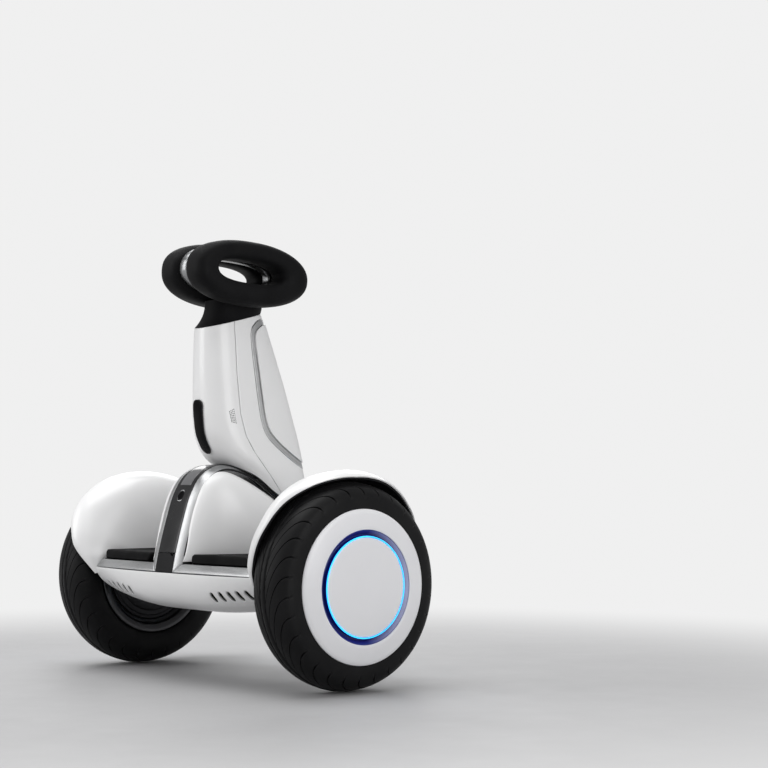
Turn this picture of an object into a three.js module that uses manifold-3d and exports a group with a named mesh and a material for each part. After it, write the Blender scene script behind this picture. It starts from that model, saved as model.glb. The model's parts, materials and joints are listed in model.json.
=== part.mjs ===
// A two-wheeled self-balancing scooter with a knee-operated steering column.
// Millimetres. +Z is up, +Y is the way it drives, +X is the rider's right.
// The origin is on the floor, midway between the two tyres.
import * as THREE from "three";
import { mergeVertices } from "three/addons/utils/BufferGeometryUtils.js";
import Module from "manifold-3d";

// ---- Driving dimensions ----
const TYRE_RADIUS = 138.5;
const TYRE_HALF_WIDTH = 36.4;
const TRACK = 488; // between the two tyre centre planes
const AXLE_Z = TYRE_RADIUS;
const BODY_HALF_WIDTH = 188; // deck and belly, inboard of the wheels
const DECK_TOP = 170; // deck skin under the foot mats
const MAT_THICKNESS = 6;
const SHAFT_RADIUS = 10; // steering shaft
const PIVOT_Z = 140; // height of the steering axis, which runs along Y
const STRIP_HALF_WIDTH = 20.7; // the dark band over the arch
const ARCH_HALF_WIDTH = 36; // dark band plus the bright trim on each side
const ARCH_FRONT_Y = 103;
const BAND_THICKNESS = 8; // dark band over the white arch
const WALL = 3; // moulded shell thickness
const GAP = 0.4; // assembly gap between neighbouring pieces
const TUBE_LEAN = 0.17; // rearward travel of the telescopic tube per unit of height
const HEAD_CENTRE = { y: -4, z: 571 }; // middle of the knee pads
const HEAD_LEAN = THREE.MathUtils.degToRad(-3); // the rear of the pads sits higher
const LATHE_SEGMENTS = 28;
const HIDDEN_SEGMENTS = 20; // round parts inside the wheel

const wasm = await Module();
wasm.setup();
const group = new THREE.Group();

// ---- Materials ----
const paint = (color, roughness, metalness = 0) =>
  new THREE.MeshStandardMaterial({ color, roughness, metalness });
const whiteShell = paint(0xe9e9ea, 0.35);
const blackGloss = paint(0x141416, 0.15);
const softBlack = paint(0x1b1b1c, 0.7);
const tyreRubber = paint(0x161617, 0.85);
const satinSilver = paint(0xb9bcc0, 0.3, 0.9);
const castAlloy = paint(0x8d9094, 0.5, 0.8);
const darkAlloy = paint(0x242426, 0.45, 0.6);
const steel = paint(0xa7a9ac, 0.35, 1);
const blueLight = paint(0x36b8ff, 0.3);
const copper = paint(0xa8622f, 0.5, 0.6);
const batteryWrap = paint(0x2b3d52, 0.6);
const boardGreen = paint(0x1f5a35, 0.6);

// ---- Solids ----
// Turns a closed three.js geometry into a manifold solid with its faces pointing out.
function solidOf(geometry) {
  const bare = geometry.clone();
  bare.deleteAttribute("normal");
  bare.deleteAttribute("uv");
  const merged = mergeVertices(bare, 1e-4);
  const index = merged.index.array;
  const kept = [];
  for (let i = 0; i < index.length; i += 3) {
    const [a, b, c] = [index[i], index[i + 1], index[i + 2]];
    if (a !== b && b !== c && c !== a) kept.push(a, b, c);
  }
  const vertProperties = merged.attributes.position.array;
  const build = (triVerts) =>
    new wasm.Manifold(new wasm.Mesh({ numProp: 3, vertProperties, triVerts }));
  const made = build(new Uint32Array(kept));
  return made.volume() < 0 ? build(new Uint32Array(kept).reverse()) : made;
}

function geometryOf(solid) {
  const made = solid.getMesh();
  const geometry = new THREE.BufferGeometry();
  geometry.setAttribute("position", new THREE.BufferAttribute(made.vertProperties, 3));
  geometry.setIndex(new THREE.BufferAttribute(made.triVerts, 1));
  return geometry;
}

function addPart(name, solid, material) {
  const mesh = new THREE.Mesh(geometryOf(solid), material);
  mesh.name = name;
  group.add(mesh);
}

function mirrored(solid) {
  return solidOf(geometryOf(solid).scale(-1, 1, 1));
}

// Adds a part on the rider's right and its mirror image on the left.
function addPair(name, rightSolid, material) {
  addPart(`right_${name}`, rightSolid, material);
  addPart(`left_${name}`, mirrored(rightSolid), material);
}

// A closed body through rings of 3-D points; every ring has the same number of points.
// `flat` holds the 2-D outline of each end, used to fill its cap.
function loft(rings, firstFlat, lastFlat) {
  const count = rings[0].length;
  const positions = rings.flat().flatMap((p) => [p.x, p.y, p.z]);
  const index = [];
  for (let i = 0; i + 1 < rings.length; i++)
    for (let j = 0; j < count; j++) {
      const a = i * count + j;
      const b = i * count + ((j + 1) % count);
      index.push(a, b, a + count, b, b + count, a + count);
    }
  const cap = (flat, base, turned) => {
    for (const [a, b, c] of THREE.ShapeUtils.triangulateShape(flat, []))
      index.push(...(turned ? [base + a, base + c, base + b] : [base + a, base + b, base + c]));
  };
  const forward = THREE.ShapeUtils.area(firstFlat) > 0;
  cap(firstFlat, 0, forward);
  cap(lastFlat, (rings.length - 1) * count, !forward);
  const geometry = new THREE.BufferGeometry();
  geometry.setAttribute("position", new THREE.Float32BufferAttribute(positions, 3));
  geometry.setIndex(index);
  return solidOf(geometry);
}

// Lofts y-z outlines along X, and x-y outlines along Z.
function loftX(stations, outlineAt) {
  const flats = stations.map(outlineAt);
  const rings = flats.map((flat, i) =>
    flat.map((p) => new THREE.Vector3(stations[i], p.x, p.y)),
  );
  return loft(rings, flats[0], flats[flats.length - 1]);
}
function loftZ(stations, outlineAt) {
  const flats = stations.map(outlineAt);
  const rings = flats.map((flat, i) =>
    flat.map((p) => new THREE.Vector3(p.x, p.y, stations[i])),
  );
  return loft(rings, flats[0], flats[flats.length - 1]);
}

// A closed sheet between two open grids of points with the same shape.
function thickSheet(outer, inner) {
  const rows = outer.length;
  const columns = outer[0].length;
  const positions = [...outer.flat(), ...inner.flat()].flatMap((p) => [p.x, p.y, p.z]);
  const at = (side, i, j) => side * rows * columns + i * columns + j;
  const index = [];
  const quad = (a, b, c, d) => index.push(a, b, c, a, c, d);
  for (let i = 0; i + 1 < rows; i++)
    for (let j = 0; j + 1 < columns; j++) {
      quad(at(0, i, j), at(0, i, j + 1), at(0, i + 1, j + 1), at(0, i + 1, j));
      quad(at(1, i, j), at(1, i + 1, j), at(1, i + 1, j + 1), at(1, i, j + 1));
    }
  for (let i = 0; i + 1 < rows; i++) {
    quad(at(0, i, 0), at(0, i + 1, 0), at(1, i + 1, 0), at(1, i, 0));
    const last = columns - 1;
    quad(at(0, i + 1, last), at(0, i, last), at(1, i, last), at(1, i + 1, last));
  }
  for (let j = 0; j + 1 < columns; j++) {
    quad(at(0, 0, j + 1), at(0, 0, j), at(1, 0, j), at(1, 0, j + 1));
    const last = rows - 1;
    quad(at(0, last, j), at(0, last, j + 1), at(1, last, j + 1), at(1, last, j));
  }
  const geometry = new THREE.BufferGeometry();
  geometry.setAttribute("position", new THREE.Float32BufferAttribute(positions, 3));
  geometry.setIndex(index);
  return solidOf(geometry);
}

function box(x0, x1, y0, y1, z0, z1) {
  const geometry = new THREE.BoxGeometry(x1 - x0, y1 - y0, z1 - z0);
  return solidOf(geometry.translate((x0 + x1) / 2, (y0 + y1) / 2, (z0 + z1) / 2));
}
// A round bar along Y or X.
function barY(radius, y0, y1, x, z, segments = 24) {
  const geometry = new THREE.CylinderGeometry(radius, radius, y1 - y0, segments);
  return solidOf(geometry.translate(x, (y0 + y1) / 2, z));
}
function barX(radius, x0, x1, y, z, segments = 24) {
  const geometry = new THREE.CylinderGeometry(radius, radius, x1 - x0, segments);
  return solidOf(geometry.rotateZ(-Math.PI / 2).translate((x0 + x1) / 2, y, z));
}
// A y-z outline extruded from x0 to x1.
function plateX(outline, x0, x1) {
  return loftX([x0, x1], () => outline);
}

const vec = (pairs) => pairs.map(([a, b]) => new THREE.Vector2(a, b));
const spline = (pairs, divisions) => new THREE.SplineCurve(vec(pairs)).getPoints(divisions);
const smooth = (t) => {
  const s = Math.min(1, Math.max(0, t));
  return s * s * (3 - 2 * s);
};

// Moves an open y-z curve to its right-hand side by `distance`.
function offsetCurve(points, distance) {
  return points.map((p, i) => {
    const before = points[Math.max(0, i - 1)];
    const after = points[Math.min(points.length - 1, i + 1)];
    const along = after.clone().sub(before).normalize();
    return new THREE.Vector2(p.x + along.y * distance, p.y - along.x * distance);
  });
}

// ---- The arch: side profile of the dark band, from the rear deck edge over the top to the front ----
const archPoints = [
    [-125, 151],
    [-118, 184],
    [-106, 227],
    [-94, 261],
    [-74, 288],
    [-42, 299.5],
    [2, 288],
    [36, 266],
    [62, 250],
    [82, 230],
    [95, 205],
    [101.5, 178],
    [ARCH_FRONT_Y, 153],
];
const archCurve = spline(archPoints, 26);

// Everything the stem must clear as it tilts: the arch turned about the steering axis.
function archEnvelope(clearance) {
  const profile = archCurve.map(
    (p) => new THREE.Vector2(p.y - PIVOT_Z + clearance, p.x + (p.x / 125) * clearance),
  );
  const rear = new THREE.Vector2(0, profile[0].y);
  const front = new THREE.Vector2(0, profile[profile.length - 1].y);
  const lathe = new THREE.LatheGeometry([rear, ...profile, front], LATHE_SEGMENTS);
  return solidOf(lathe.translate(0, 0, PIVOT_Z));
}

// ---- Deck and belly ----
// The rear and front edges bow outwards in plan.
const bow = (x, depth) => depth * (1 - (x / BODY_HALF_WIDTH) ** 2);
const rearEdge = (x) => -113 - bow(x, 12);
const frontEdge = (x) => 112 + bow(x, 9);
const frontSeamZ = (x) => 123 + 18 * (x / BODY_HALF_WIDTH) ** 2;
const REAR_SEAM_Z = 150.6;
const STEM_NOTCH = 33; // half width of the opening that the stem foot swings in
const AXLE_HOLE_RADIUS = 9;
const bodyStations = [-188, -160, -125, -85, -45, 0, 45, 85, 125, 160, 188];

const FLAT_BELLY = 85; // the floor is flat out to here, then rises towards the wheels
function bellyOutline(x, inset) {
  const out = Math.max(0, Math.abs(x) - FLAT_BELLY) / (BODY_HALF_WIDTH - FLAT_BELLY);
  const lift = 14 * out ** 1.5;
  const floor = 95 + lift + inset;
  const rear = rearEdge(x) + inset;
  const front = frontEdge(x) - inset;
  const top = inset ? 20 : 0;
  return vec([
    [rear, REAR_SEAM_Z + top],
    [rear + 1, 138],
    [rear + 9, 122 + lift * 0.3],
    [rear + 27, 106 + lift * 0.7],
    [-62, floor],
    [62, floor],
    [front - 26, 104 + lift * 0.7],
    [front - 8, 113 + lift * 0.5],
    [front, frontSeamZ(x) - 1 + top],
  ]);
}

function makeBelly() {
  const outer = loftX(bodyStations, (x) => bellyOutline(x, 0));
  const innerStations = bodyStations.map((x) => x * (1 - WALL / BODY_HALF_WIDTH));
  let belly = outer.subtract(loftX(innerStations, (x) => bellyOutline(x, WALL)));
  // Slanted cooling slots near each wheel, at the rear and the front.
  for (const sideX of [-1, 1])
    for (const sideY of [-1, 1])
      for (let i = 0; i < 5; i++) {
        const slot = new THREE.BoxGeometry(4.5, 40, 19);
        slot.rotateY(-sideX * 0.55);
        slot.translate(sideX * (95 + 18 * i), sideY * 112, 119 + 1.5 * i);
        belly = belly.subtract(solidOf(slot));
      }
  // Openings for the axles and for the swinging foot of the stem.
  return belly
    .subtract(barX(AXLE_HOLE_RADIUS, -200, 200, 0, AXLE_Z))
    .subtract(barY(STEM_NOTCH, ARCH_FRONT_Y + 1, 140, 0, PIVOT_Z))
    .subtract(box(-STEM_NOTCH, STEM_NOTCH, ARCH_FRONT_Y + 1, 140, PIVOT_Z, 180));
}

function deckOutline(x, inset) {
  const rear = rearEdge(x);
  const front = frontEdge(x);
  const deep = inset ? -30 : GAP;
  return vec([
    [rear + 3.4 + inset, REAR_SEAM_Z + deep],
    [rear + 13 + inset, 161],
    [rear + 21 + inset, DECK_TOP - inset],
    [48, DECK_TOP - inset],
    [front - 9 - inset, 144 - inset / 2],
    [front - inset, 142 - inset / 2],
    [front - inset, frontSeamZ(x) - 1 + deep],
  ]);
}

// The white hump between the feet: one y-z arch outline for each distance from the centre plane.
const HUMP_HALF_WIDTH = 82;
function humpOutline(x, inset) {
  const away = Math.max(0, Math.abs(x) - ARCH_HALF_WIDTH + inset);
  const reach = away / (HUMP_HALF_WIDTH - ARCH_HALF_WIDTH + inset);
  const height = Math.sqrt(Math.max(0.02, 1 - reach ** 1.8));
  const shrink = 1 - 0.5 * reach ** 3;
  const curve = offsetCurve(archCurve, BAND_THICKNESS + 0.5 + inset);
  const outline = curve.map((p) => {
    const y = 10 + (p.x - 10) * shrink;
    return new THREE.Vector2(y, 150 + (p.y - 150) * height);
  });
  if (!inset) return outline;
  // The room under the hump runs on down through the deck.
  const rear = new THREE.Vector2(outline[0].x, 135);
  const front = new THREE.Vector2(outline[outline.length - 1].x, 135);
  return [rear, ...outline, front];
}
const humpStations = [-82, -79, -73, -64, -52, -36, 0, 36, 52, 64, 73, 79, 82];

function archBand(x0, x1, outerDrop, innerDrop) {
  const outer = offsetCurve(archCurve, outerDrop);
  const inner = offsetCurve(archCurve, innerDrop).reverse();
  return plateX([...outer, ...inner], x0, x1);
}

function makeDeck() {
  const slab = loftX(bodyStations, (x) => deckOutline(x, 0));
  const hump = loftX(humpStations, (x) => humpOutline(x, 0));
  const innerStations = bodyStations.map((x) => x * (1 - WALL / BODY_HALF_WIDTH));
  const room = loftX(innerStations, (x) => deckOutline(x, WALL));
  const humpRoom = loftX(
    humpStations.map((x) => x * (1 - WALL / HUMP_HALF_WIDTH)),
    (x) => humpOutline(x, WALL),
  );
  return slab
    .add(hump)
    .subtract(room)
    .subtract(humpRoom)
    .subtract(archBand(-ARCH_HALF_WIDTH - GAP, ARCH_HALF_WIDTH + GAP, -30, BAND_THICKNESS + GAP))
    .subtract(box(-STEM_NOTCH, STEM_NOTCH, ARCH_FRONT_Y + 1, 140, 90, 190))
    .subtract(barX(AXLE_HOLE_RADIUS, -200, 200, 0, AXLE_Z))
    .subtract(barY(SHAFT_RADIUS + 1, 80, 110, 0, PIVOT_Z));
}

// Foot mat with a flat top, a rolled rear edge and a long front ramp.
function makeMat(x0, x1) {
  const stations = [x0, x0 + 12, (x0 + x1) / 2, x1 - 10, x1];
  return loftX(stations, (x) => {
    const rear = rearEdge(x) + 8;
    const front = frontEdge(x) - 4;
    return vec([
      [rear + 3.6, 162.5],
      [rear + 4.5, 167],
      [rear + 12, DECK_TOP + MAT_THICKNESS],
      [52, DECK_TOP + MAT_THICKNESS],
      [front, 149.5],
      [front - 2.6, 144.2],
      [48.5, DECK_TOP + GAP],
      [rear + 12, DECK_TOP + GAP],
    ]);
  });
}

const spacedStations = (x0, x1) => [0, 0.25, 0.5, 0.75, 1].map((t) => x0 + (x1 - x0) * t);
function makeRearTrim(x0, x1) {
  return loftX(spacedStations(x0, x1), (x) => {
    const rear = rearEdge(x);
    return vec([
      [rear, REAR_SEAM_Z + GAP],
      [rear + 8, 162],
      [rear + 9.8, 160.8],
      [rear + 2.3, REAR_SEAM_Z + GAP],
    ]);
  });
}

function makeLightBar(x0, x1) {
  return loftX(spacedStations(x0, x1), (x) => {
    const front = frontEdge(x);
    return vec([
      [front - 3.4, 149.4],
      [front - 0.8, 146],
      [front - 0.8, 143.2],
      [front - 6, 144.4],
    ]);
  });
}

// ---- Fenders: a dome over the inner half of each tyre ----
const FENDER_WALL = 4;
const FENDER_SPREAD = 84; // degrees each way from straight up
const FENDER_ROUND = 0.72; // 1 is an ellipse, less is squarer
// Each row: degrees from straight up, then distance out and radius of the crown, and of the lip.
const fenderRows = [
  [0, 247, 150.5, 266, 142.5],
  [15, 246.5, 151, 263, 144.5],
  [30, 244, 153.5, 254.5, 147.8],
  [45, 239, 154.5, 244, 150.8],
  [57, 235, 151, 238, 149.8],
  [65, 226, 146, 228, 145.2],
  [72, 218.5, 140.3, 220, 139.8],
  [76, 211, 133.5, 212.5, 133],
  [80, 203, 126, 204.5, 125.6],
  [84, 197, 119, 198, 118.6],
];

function fenderRow(degrees) {
  const last = fenderRows.length - 1;
  const next = Math.min(last, Math.max(1, fenderRows.findIndex((row) => row[0] >= degrees)));
  const [from, to] = [fenderRows[next - 1], fenderRows[next]];
  const t = (degrees - from[0]) / (to[0] - from[0]);
  return from.map((value, k) => value + (to[k] - value) * t);
}

function fenderPoint(degrees, across, inset) {
  // `degrees` is the turn from straight up about the axle, `across` runs 0 at the deck to 1 at the lip.
  const side = Math.min(FENDER_SPREAD, Math.abs(degrees));
  const turn = THREE.MathUtils.degToRad(degrees);
  const [, crownX, crownR, lipX, lipR] = fenderRow(side);
  const baseX = 188.6 + 2 * smooth((side - 60) / 24);
  const toDeck = 34 / Math.max(0.05, Math.cos(turn));
  const toEnd = 113.5 / Math.max(0.05, Math.abs(Math.sin(turn)));
  const baseR = Math.min(toDeck, toEnd);
  let x;
  let r;
  if (across < 0.7) {
    const bend = (across / 0.7) * (Math.PI / 2);
    x = crownX - (crownX - baseX) * Math.cos(bend) ** FENDER_ROUND;
    r = baseR + (crownR - baseR) * Math.sin(bend) ** FENDER_ROUND;
    x += inset * Math.cos(bend);
    r -= inset * Math.sin(bend);
  } else {
    const out = (across - 0.7) / 0.3;
    x = crownX + (lipX - crownX) * out;
    r = crownR - (crownR - lipR) * out * out - inset;
  }
  return new THREE.Vector3(x, Math.sin(turn) * r, AXLE_Z + Math.cos(turn) * r);
}

function makeFender() {
  const rows = 19;
  const columns = 8;
  const grid = (inset) =>
    Array.from({ length: rows + 1 }, (_, i) =>
      Array.from({ length: columns + 1 }, (_, j) =>
        fenderPoint(-FENDER_SPREAD + (2 * FENDER_SPREAD * i) / rows, j / columns, inset),
      ),
    );
  return thickSheet(grid(0), grid(FENDER_WALL));
}

// ---- Wheels: profiles are [radius, outboard distance from the tyre centre plane] ----
function wheelPart(pairs, segments = LATHE_SEGMENTS) {
  const lathe = new THREE.LatheGeometry(vec([...pairs, pairs[0]]), segments);
  return solidOf(lathe.rotateZ(-Math.PI / 2).translate(TRACK / 2, 0, AXLE_Z));
}
const both = (half) => [...half, ...half.slice(0, -1).reverse().map(([r, u]) => [r, -u])];

function addWheels() {
  const tread = both([[85, -28.6], [90.6, -29.4], [94, -34.6], [102, -TYRE_HALF_WIDTH],
    [114, -35], [126, -28.6], [135, -15.5], [TYRE_RADIUS, 0]]);
  const cavity = both([[85, -23], [96, -28.5], [108, -29], [122, -20.5], [130.5, 0]]).reverse();
  addPair("tyre", wheelPart([...tread, ...cavity]), tyreRubber);
  addPair("rim", wheelPart([[90, -34], [90, -30.4], [84, -29], [82.5, -18], [78, -10], [78, 10],
    [82.5, 18], [84, 29], [90, 30.4], [90, 33], [80, 33], [74, 26], [20, 19], [16.6, 19],
    [16.6, 10], [66, 10], [72, 4], [72, -28], [80, -30], [86, -34]]), darkAlloy);
  addPair("motor_cover", wheelPart([[16.6, -31.5], [58, -29.5], [60, -27], [71.6, -27],
    [71.6, -22], [16.6, -21]]), darkAlloy);
  const innerBearing = [[8.5, -31], [16.2, -31], [16.2, -21.5], [8.5, -21.5]];
  addPair("inner_bearing", wheelPart(innerBearing, HIDDEN_SEGMENTS), steel);
  const outerBearing = [[8.5, 10.5], [16.2, 10.5], [16.2, 18.5], [8.5, 18.5]];
  addPair("outer_bearing", wheelPart(outerBearing, HIDDEN_SEGMENTS), steel);
  addPair("hub_cover", wheelPart([[102, 36.9], [102, 38.2], [97, 40.2], [86, 42.6], [77, 44],
    [75, 43.2], [75, 34.8], [88, 34.4], [91, 36.9]]), whiteShell);
  addPair("light_ring", wheelPart([[65.4, 34], [74.6, 34], [74.6, 36], [68.8, 36.6], [68.2, 41.4],
    [65.4, 42]]), blueLight);
  const cap = vec([[0, 34.4], [65, 34.4], [65, 41.6], [62, 42.8], [38, 44.2], [0, 44.8]]);
  const capLathe = new THREE.LatheGeometry(cap, LATHE_SEGMENTS).rotateZ(-Math.PI / 2);
  addPair("centre_cap", solidOf(capLathe.translate(TRACK / 2, 0, AXLE_Z)), whiteShell);

  // The axle and the motor windings stay with the chassis.
  addPair("axle", barX(8, 140, TRACK / 2 + 21, 0, AXLE_Z), steel);
  const stator = [[8.4, -16], [62, -16], [64, -12], [64, 2], [62, 6], [8.4, 6]];
  addPair("stator", wheelPart(stator, HIDDEN_SEGMENTS), copper);
}

// ---- Inside the body ----
function makeFrame() {
  const beam = box(-172, 172, -22, 22, 122, 156);
  const arm = box(-27, 27, 20, 62, 120, 158);
  const housing = barY(21, 60, 90, 0, PIVOT_Z);
  let frame = beam.add(arm).add(housing);
  for (const side of [-1, 1])
    frame = frame.subtract(barX(8.4, side < 0 ? -180 : 138, side < 0 ? -138 : 180, 0, AXLE_Z));
  return frame.subtract(barY(15.4, 46, 96, 0, PIVOT_Z));
}

function ringY(inner, outer, y0, y1) {
  return barY(outer, y0, y1, 0, PIVOT_Z).subtract(barY(inner, y0 - 1, y1 + 1, 0, PIVOT_Z));
}

function addBody() {
  addPart("lower_shell", makeBelly(), whiteShell);
  addPart("deck_shell", makeDeck(), whiteShell);
  addPair("fender", makeFender(), whiteShell);
  addPair("footpad", makeMat(86, 178), softBlack);
  addPair("rear_trim", makeRearTrim(37, 184), satinSilver);
  addPair("light_bar", makeLightBar(37, 178), blueLight);
  addPair("arch_trim", makeArchTrim(), satinSilver);
  addPart("arch_strip", makeArchStrip(), blackGloss);
  addPart("power_button", makeButton(), blackGloss);
  addPart("charge_port_cover", makePortCover(), softBlack);
  addPart("charge_socket", barY(8, -108, -96, 0, 166), blackGloss);
  addPart("chassis_frame", makeFrame(), castAlloy);
  addPart("battery_pack", box(-125, 125, -88, -26, 116, 150), batteryWrap);
  addPart("control_board", box(-110, -36, 30, 88, 118, 126), boardGreen);
  addPart("front_pivot_bearing", ringY(10.5, 15, 80, 89), steel);
  addPart("rear_pivot_bearing", ringY(10.5, 15, 51, 60), steel);
  addPart("centring_bush", ringY(10.5, 15, 61, 79), softBlack);
  addPair("foot_sensor", box(92, 168, -70, 30, 159, DECK_TOP - WALL - GAP), softBlack);
}

// ---- Bands over the arch ----
const BUTTON_AT = 0.238; // fraction of the way along the band
const PORT_TOP_Z = 178;
const PORT_LEAN = 11.5; // degrees the band leans where the cover sits
// The stretch of band that the cover fills, cut square to the band at its top.
function portCut(gap, depth) {
  return box(-30, 30, -25, 25, -depth, -gap).rotate([-PORT_LEAN, 0, 0]).translate([0, -118, PORT_TOP_Z]);
}
function makeArchTrim() {
  const stations = [STRIP_HALF_WIDTH + GAP, 28, ARCH_HALF_WIDTH];
  return loftX(stations, (x) => {
    const across = (x - STRIP_HALF_WIDTH) / (ARCH_HALF_WIDTH - STRIP_HALF_WIDTH);
    const outer = offsetCurve(archCurve, 6 * across ** 1.6);
    const inner = offsetCurve(archCurve, BAND_THICKNESS).reverse();
    return [...outer, ...inner];
  });
}

function buttonFrame() {
  const along = new THREE.SplineCurve(vec(archPoints));
  const tangent = along.getTangent(BUTTON_AT);
  return { here: along.getPoint(BUTTON_AT), lean: Math.atan2(tangent.x, tangent.y) };
}
function buttonBar(radius, depth0, depth1) {
  const { here, lean } = buttonFrame();
  const geometry = new THREE.CylinderGeometry(radius, radius, depth1 - depth0, 20);
  geometry.translate(0, (depth0 + depth1) / 2, 0);
  geometry.rotateX(-lean);
  return solidOf(geometry.translate(0, here.x, here.y));
}
function makeButton() {
  return buttonBar(7.4, -0.4, 5.4);
}
function makeArchStrip() {
  return archBand(-STRIP_HALF_WIDTH, STRIP_HALF_WIDTH, 0, BAND_THICKNESS)
    .subtract(buttonBar(7.9, -10, 12))
    .subtract(portCut(0, 60));
}
function makePortCover() {
  const cover = archBand(-STRIP_HALF_WIDTH, STRIP_HALF_WIDTH, 0, 4);
  return cover.intersect(portCut(GAP, 60)).intersect(box(-30, 30, -140, -90, 151.2, 200));
}

// ---- Steering stem ----
// Each row: height, rear y, widest y, front y, half width.
const stemRows = [
  [118, 104, 108, 120, 27],
  [150, 100, 106, 120.5, 28],
  [200, 78, 98, 120.5, 31],
  [240, 40, 80, 120, 38],
  [270, 4, 52, 118, 45],
  [292, -20, 22, 115, 48.5],
  [310, -42, 2, 110.5, 47.5],
  [335, -59, -10, 104.5, 44],
  [365, -66, -18, 95, 40],
  [400, -68, -21, 84, 37.5],
  [450, -68.5, -24, 65, 34.5],
  [490, -67.5, -26, 49, 31.5],
  [530, -66, -27, 34, 28],
];
const stemTopZ = (y) => 494 + 0.25 * (y + 62);

function stemOutline([, rear, widest, front, half], inset) {
  const steps = 7;
  const side = [];
  for (let i = 0; i < steps; i++) {
    const angle = (Math.PI / 2) * (i / steps);
    const x = (half - inset) * Math.sin(angle) ** (2 / 2.4);
    const y = widest - (widest - rear - inset) * Math.cos(angle) ** (2 / 2.4);
    side.push(new THREE.Vector2(x, y));
  }
  for (let i = 0; i <= steps; i++) {
    const angle = (Math.PI / 2) * (i / steps);
    const x = (half - inset) * Math.cos(angle);
    const y = widest + (front - inset - widest) * Math.sin(angle) ** (2 / 1.5);
    side.push(new THREE.Vector2(x, y));
  }
  const other = side.slice(1, -1).reverse().map((p) => new THREE.Vector2(-p.x, p.y));
  side[side.length - 1].x = 0;
  return [...side, ...other];
}
function stemSolid(inset) {
  const heights = stemRows.map(([z]) => z);
  return loftZ(heights, (z) => stemOutline(stemRows[heights.indexOf(z)], inset));
}

// Regions of the stem in side view, each reaching well past the shell.
const rearSeam = [
  [-27, 560], [-27, 490], [-24, 430], [-21, 370], [-14, 340], [-3, 320], [20, 290], [60, 250],
];
const trimOuter = [
  [5, 560], [5.5, 490], [8, 440], [13, 380], [18, 360], [30, 340], [47, 322], [72, 306], [140, 292],
];
const trimInner = [
  [12, 560], [12.5, 490], [15.5, 440], [21.5, 380], [28, 359],
  [39.5, 345], [57, 328.5], [82, 314], [140, 300],
];
const FOOT_SEAM_Z = 228;

function behind(curve, shift) {
  const last = curve[curve.length - 1];
  const points = [...curve, [last[0], 60], [-200, 60], [-200, 560]];
  return plateX(vec(points).reverse(), -90, 90).translate([0, shift, 0]);
}

function addStem() {
  const clear = archEnvelope(4);
  const body = stemSolid(0)
    .subtract(clear)
    .subtract(slopedSlab(0, 200));
  const room = stemSolid(WALL)
    .subtract(archEnvelope(4 + WALL))
    .subtract(box(-90, 90, -200, ARCH_FRONT_Y + 4 + WALL, 60, 200));
  const shell = body.subtract(room);
  const foot = barY(26, 100, 125, 0, PIVOT_Z + 3, 36).add(box(-60, 60, 90, 130, PIVOT_Z, 700));
  const footBand = shell.intersect(foot).intersect(box(-60, 60, 90, 130, 100, FOOT_SEAM_Z - GAP));
  const above = shell.intersect(box(-90, 90, -200, 200, FOOT_SEAM_Z, 700));
  const rearRegion = behind(rearSeam, 0);
  const front = above.subtract(behind(trimOuter, 0));
  const middle = above.intersect(behind(trimOuter, -GAP)).subtract(behind(rearSeam, GAP));
  const skin = (depth) => stemSolid(0).subtract(stemSolid(depth));
  const windowBox = (grow) => box(-12 - grow, 12 + grow, -90, -40, 318 - grow, 388 + grow);
  addPart("display_window", skin(1.2).intersect(windowBox(0)), blackGloss);
  const rear = above.intersect(rearRegion).subtract(skin(1.7).intersect(windowBox(GAP)));
  addPart("stem_rear_shell", rear, whiteShell);
  addPart("stem_main_shell", middle, whiteShell);
  addPart("stem_trim", front.intersect(behind(trimInner, 0)), satinSilver);
  addPart("stem_front_panel", front.subtract(behind(trimInner, GAP)), whiteShell);
  addPart("stem_foot_cover", footBand.subtract(barY(SHAFT_RADIUS + 1, 90, 112, 0, PIVOT_Z)), whiteShell);

  // Steel and alloy parts that the covers hide.
  const fit = WALL + 0.8;
  const hollow = stemSolid(fit)
    .subtract(archEnvelope(4 + fit))
    .subtract(box(-90, 90, -200, ARCH_FRONT_Y + 4 + fit, 60, 200));
  const casting = hollow
    .intersect(box(-20, 20, -40, 130, PIVOT_Z - 14, 340))
    .subtract(box(-30, 30, 52, 130, 285, 350))
    .subtract(leanBar(TUBE_RADIUS + 3.4, 280, 400));
  addPart("stem_casting", casting, castAlloy);
  addPart("steering_shaft", barY(SHAFT_RADIUS, 48, ARCH_FRONT_Y + 4 + fit - GAP, 0, PIVOT_Z), steel);
  const sleeve = leanBar(TUBE_RADIUS + 3, 300, 478).subtract(leanBar(TUBE_RADIUS + 0.5, 290, 490));
  addPart("outer_tube", sleeve, castAlloy);
  const clamp = leanBar(TUBE_RADIUS + 8, 452, 466).subtract(leanBar(TUBE_RADIUS + 3.4, 440, 480));
  addPart("height_clamp", clamp, steel);
  const collar = stemSolid(fit)
    .intersect(slopedSlab(-9, -0.5))
    .subtract(leanBar(TUBE_RADIUS + 0.6, 460, 540));
  addPart("top_collar", collar, softBlack);
}

// ---- Telescopic tube and knee pads ----
const TUBE_RADIUS = 14;
const tubeY = (z) => 28 - TUBE_LEAN * (z - 300);
function leanBar(radius, z0, z1) {
  const geometry = new THREE.CylinderGeometry(radius, radius, (z1 - z0) * Math.hypot(1, TUBE_LEAN), 28);
  geometry.rotateX(Math.PI / 2 + Math.atan(TUBE_LEAN));
  const middle = (z0 + z1) / 2;
  return solidOf(geometry.translate(0, tubeY(middle), middle));
}
// Everything between two offsets above the sloping top of the stem.
function slopedSlab(low, high) {
  const [rear, front] = [-120, 160];
  return plateX(vec([[rear, stemTopZ(rear) + low], [front, stemTopZ(front) + low],
    [front, stemTopZ(front) + high], [rear, stemTopZ(rear) + high]]), -90, 90);
}

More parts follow.
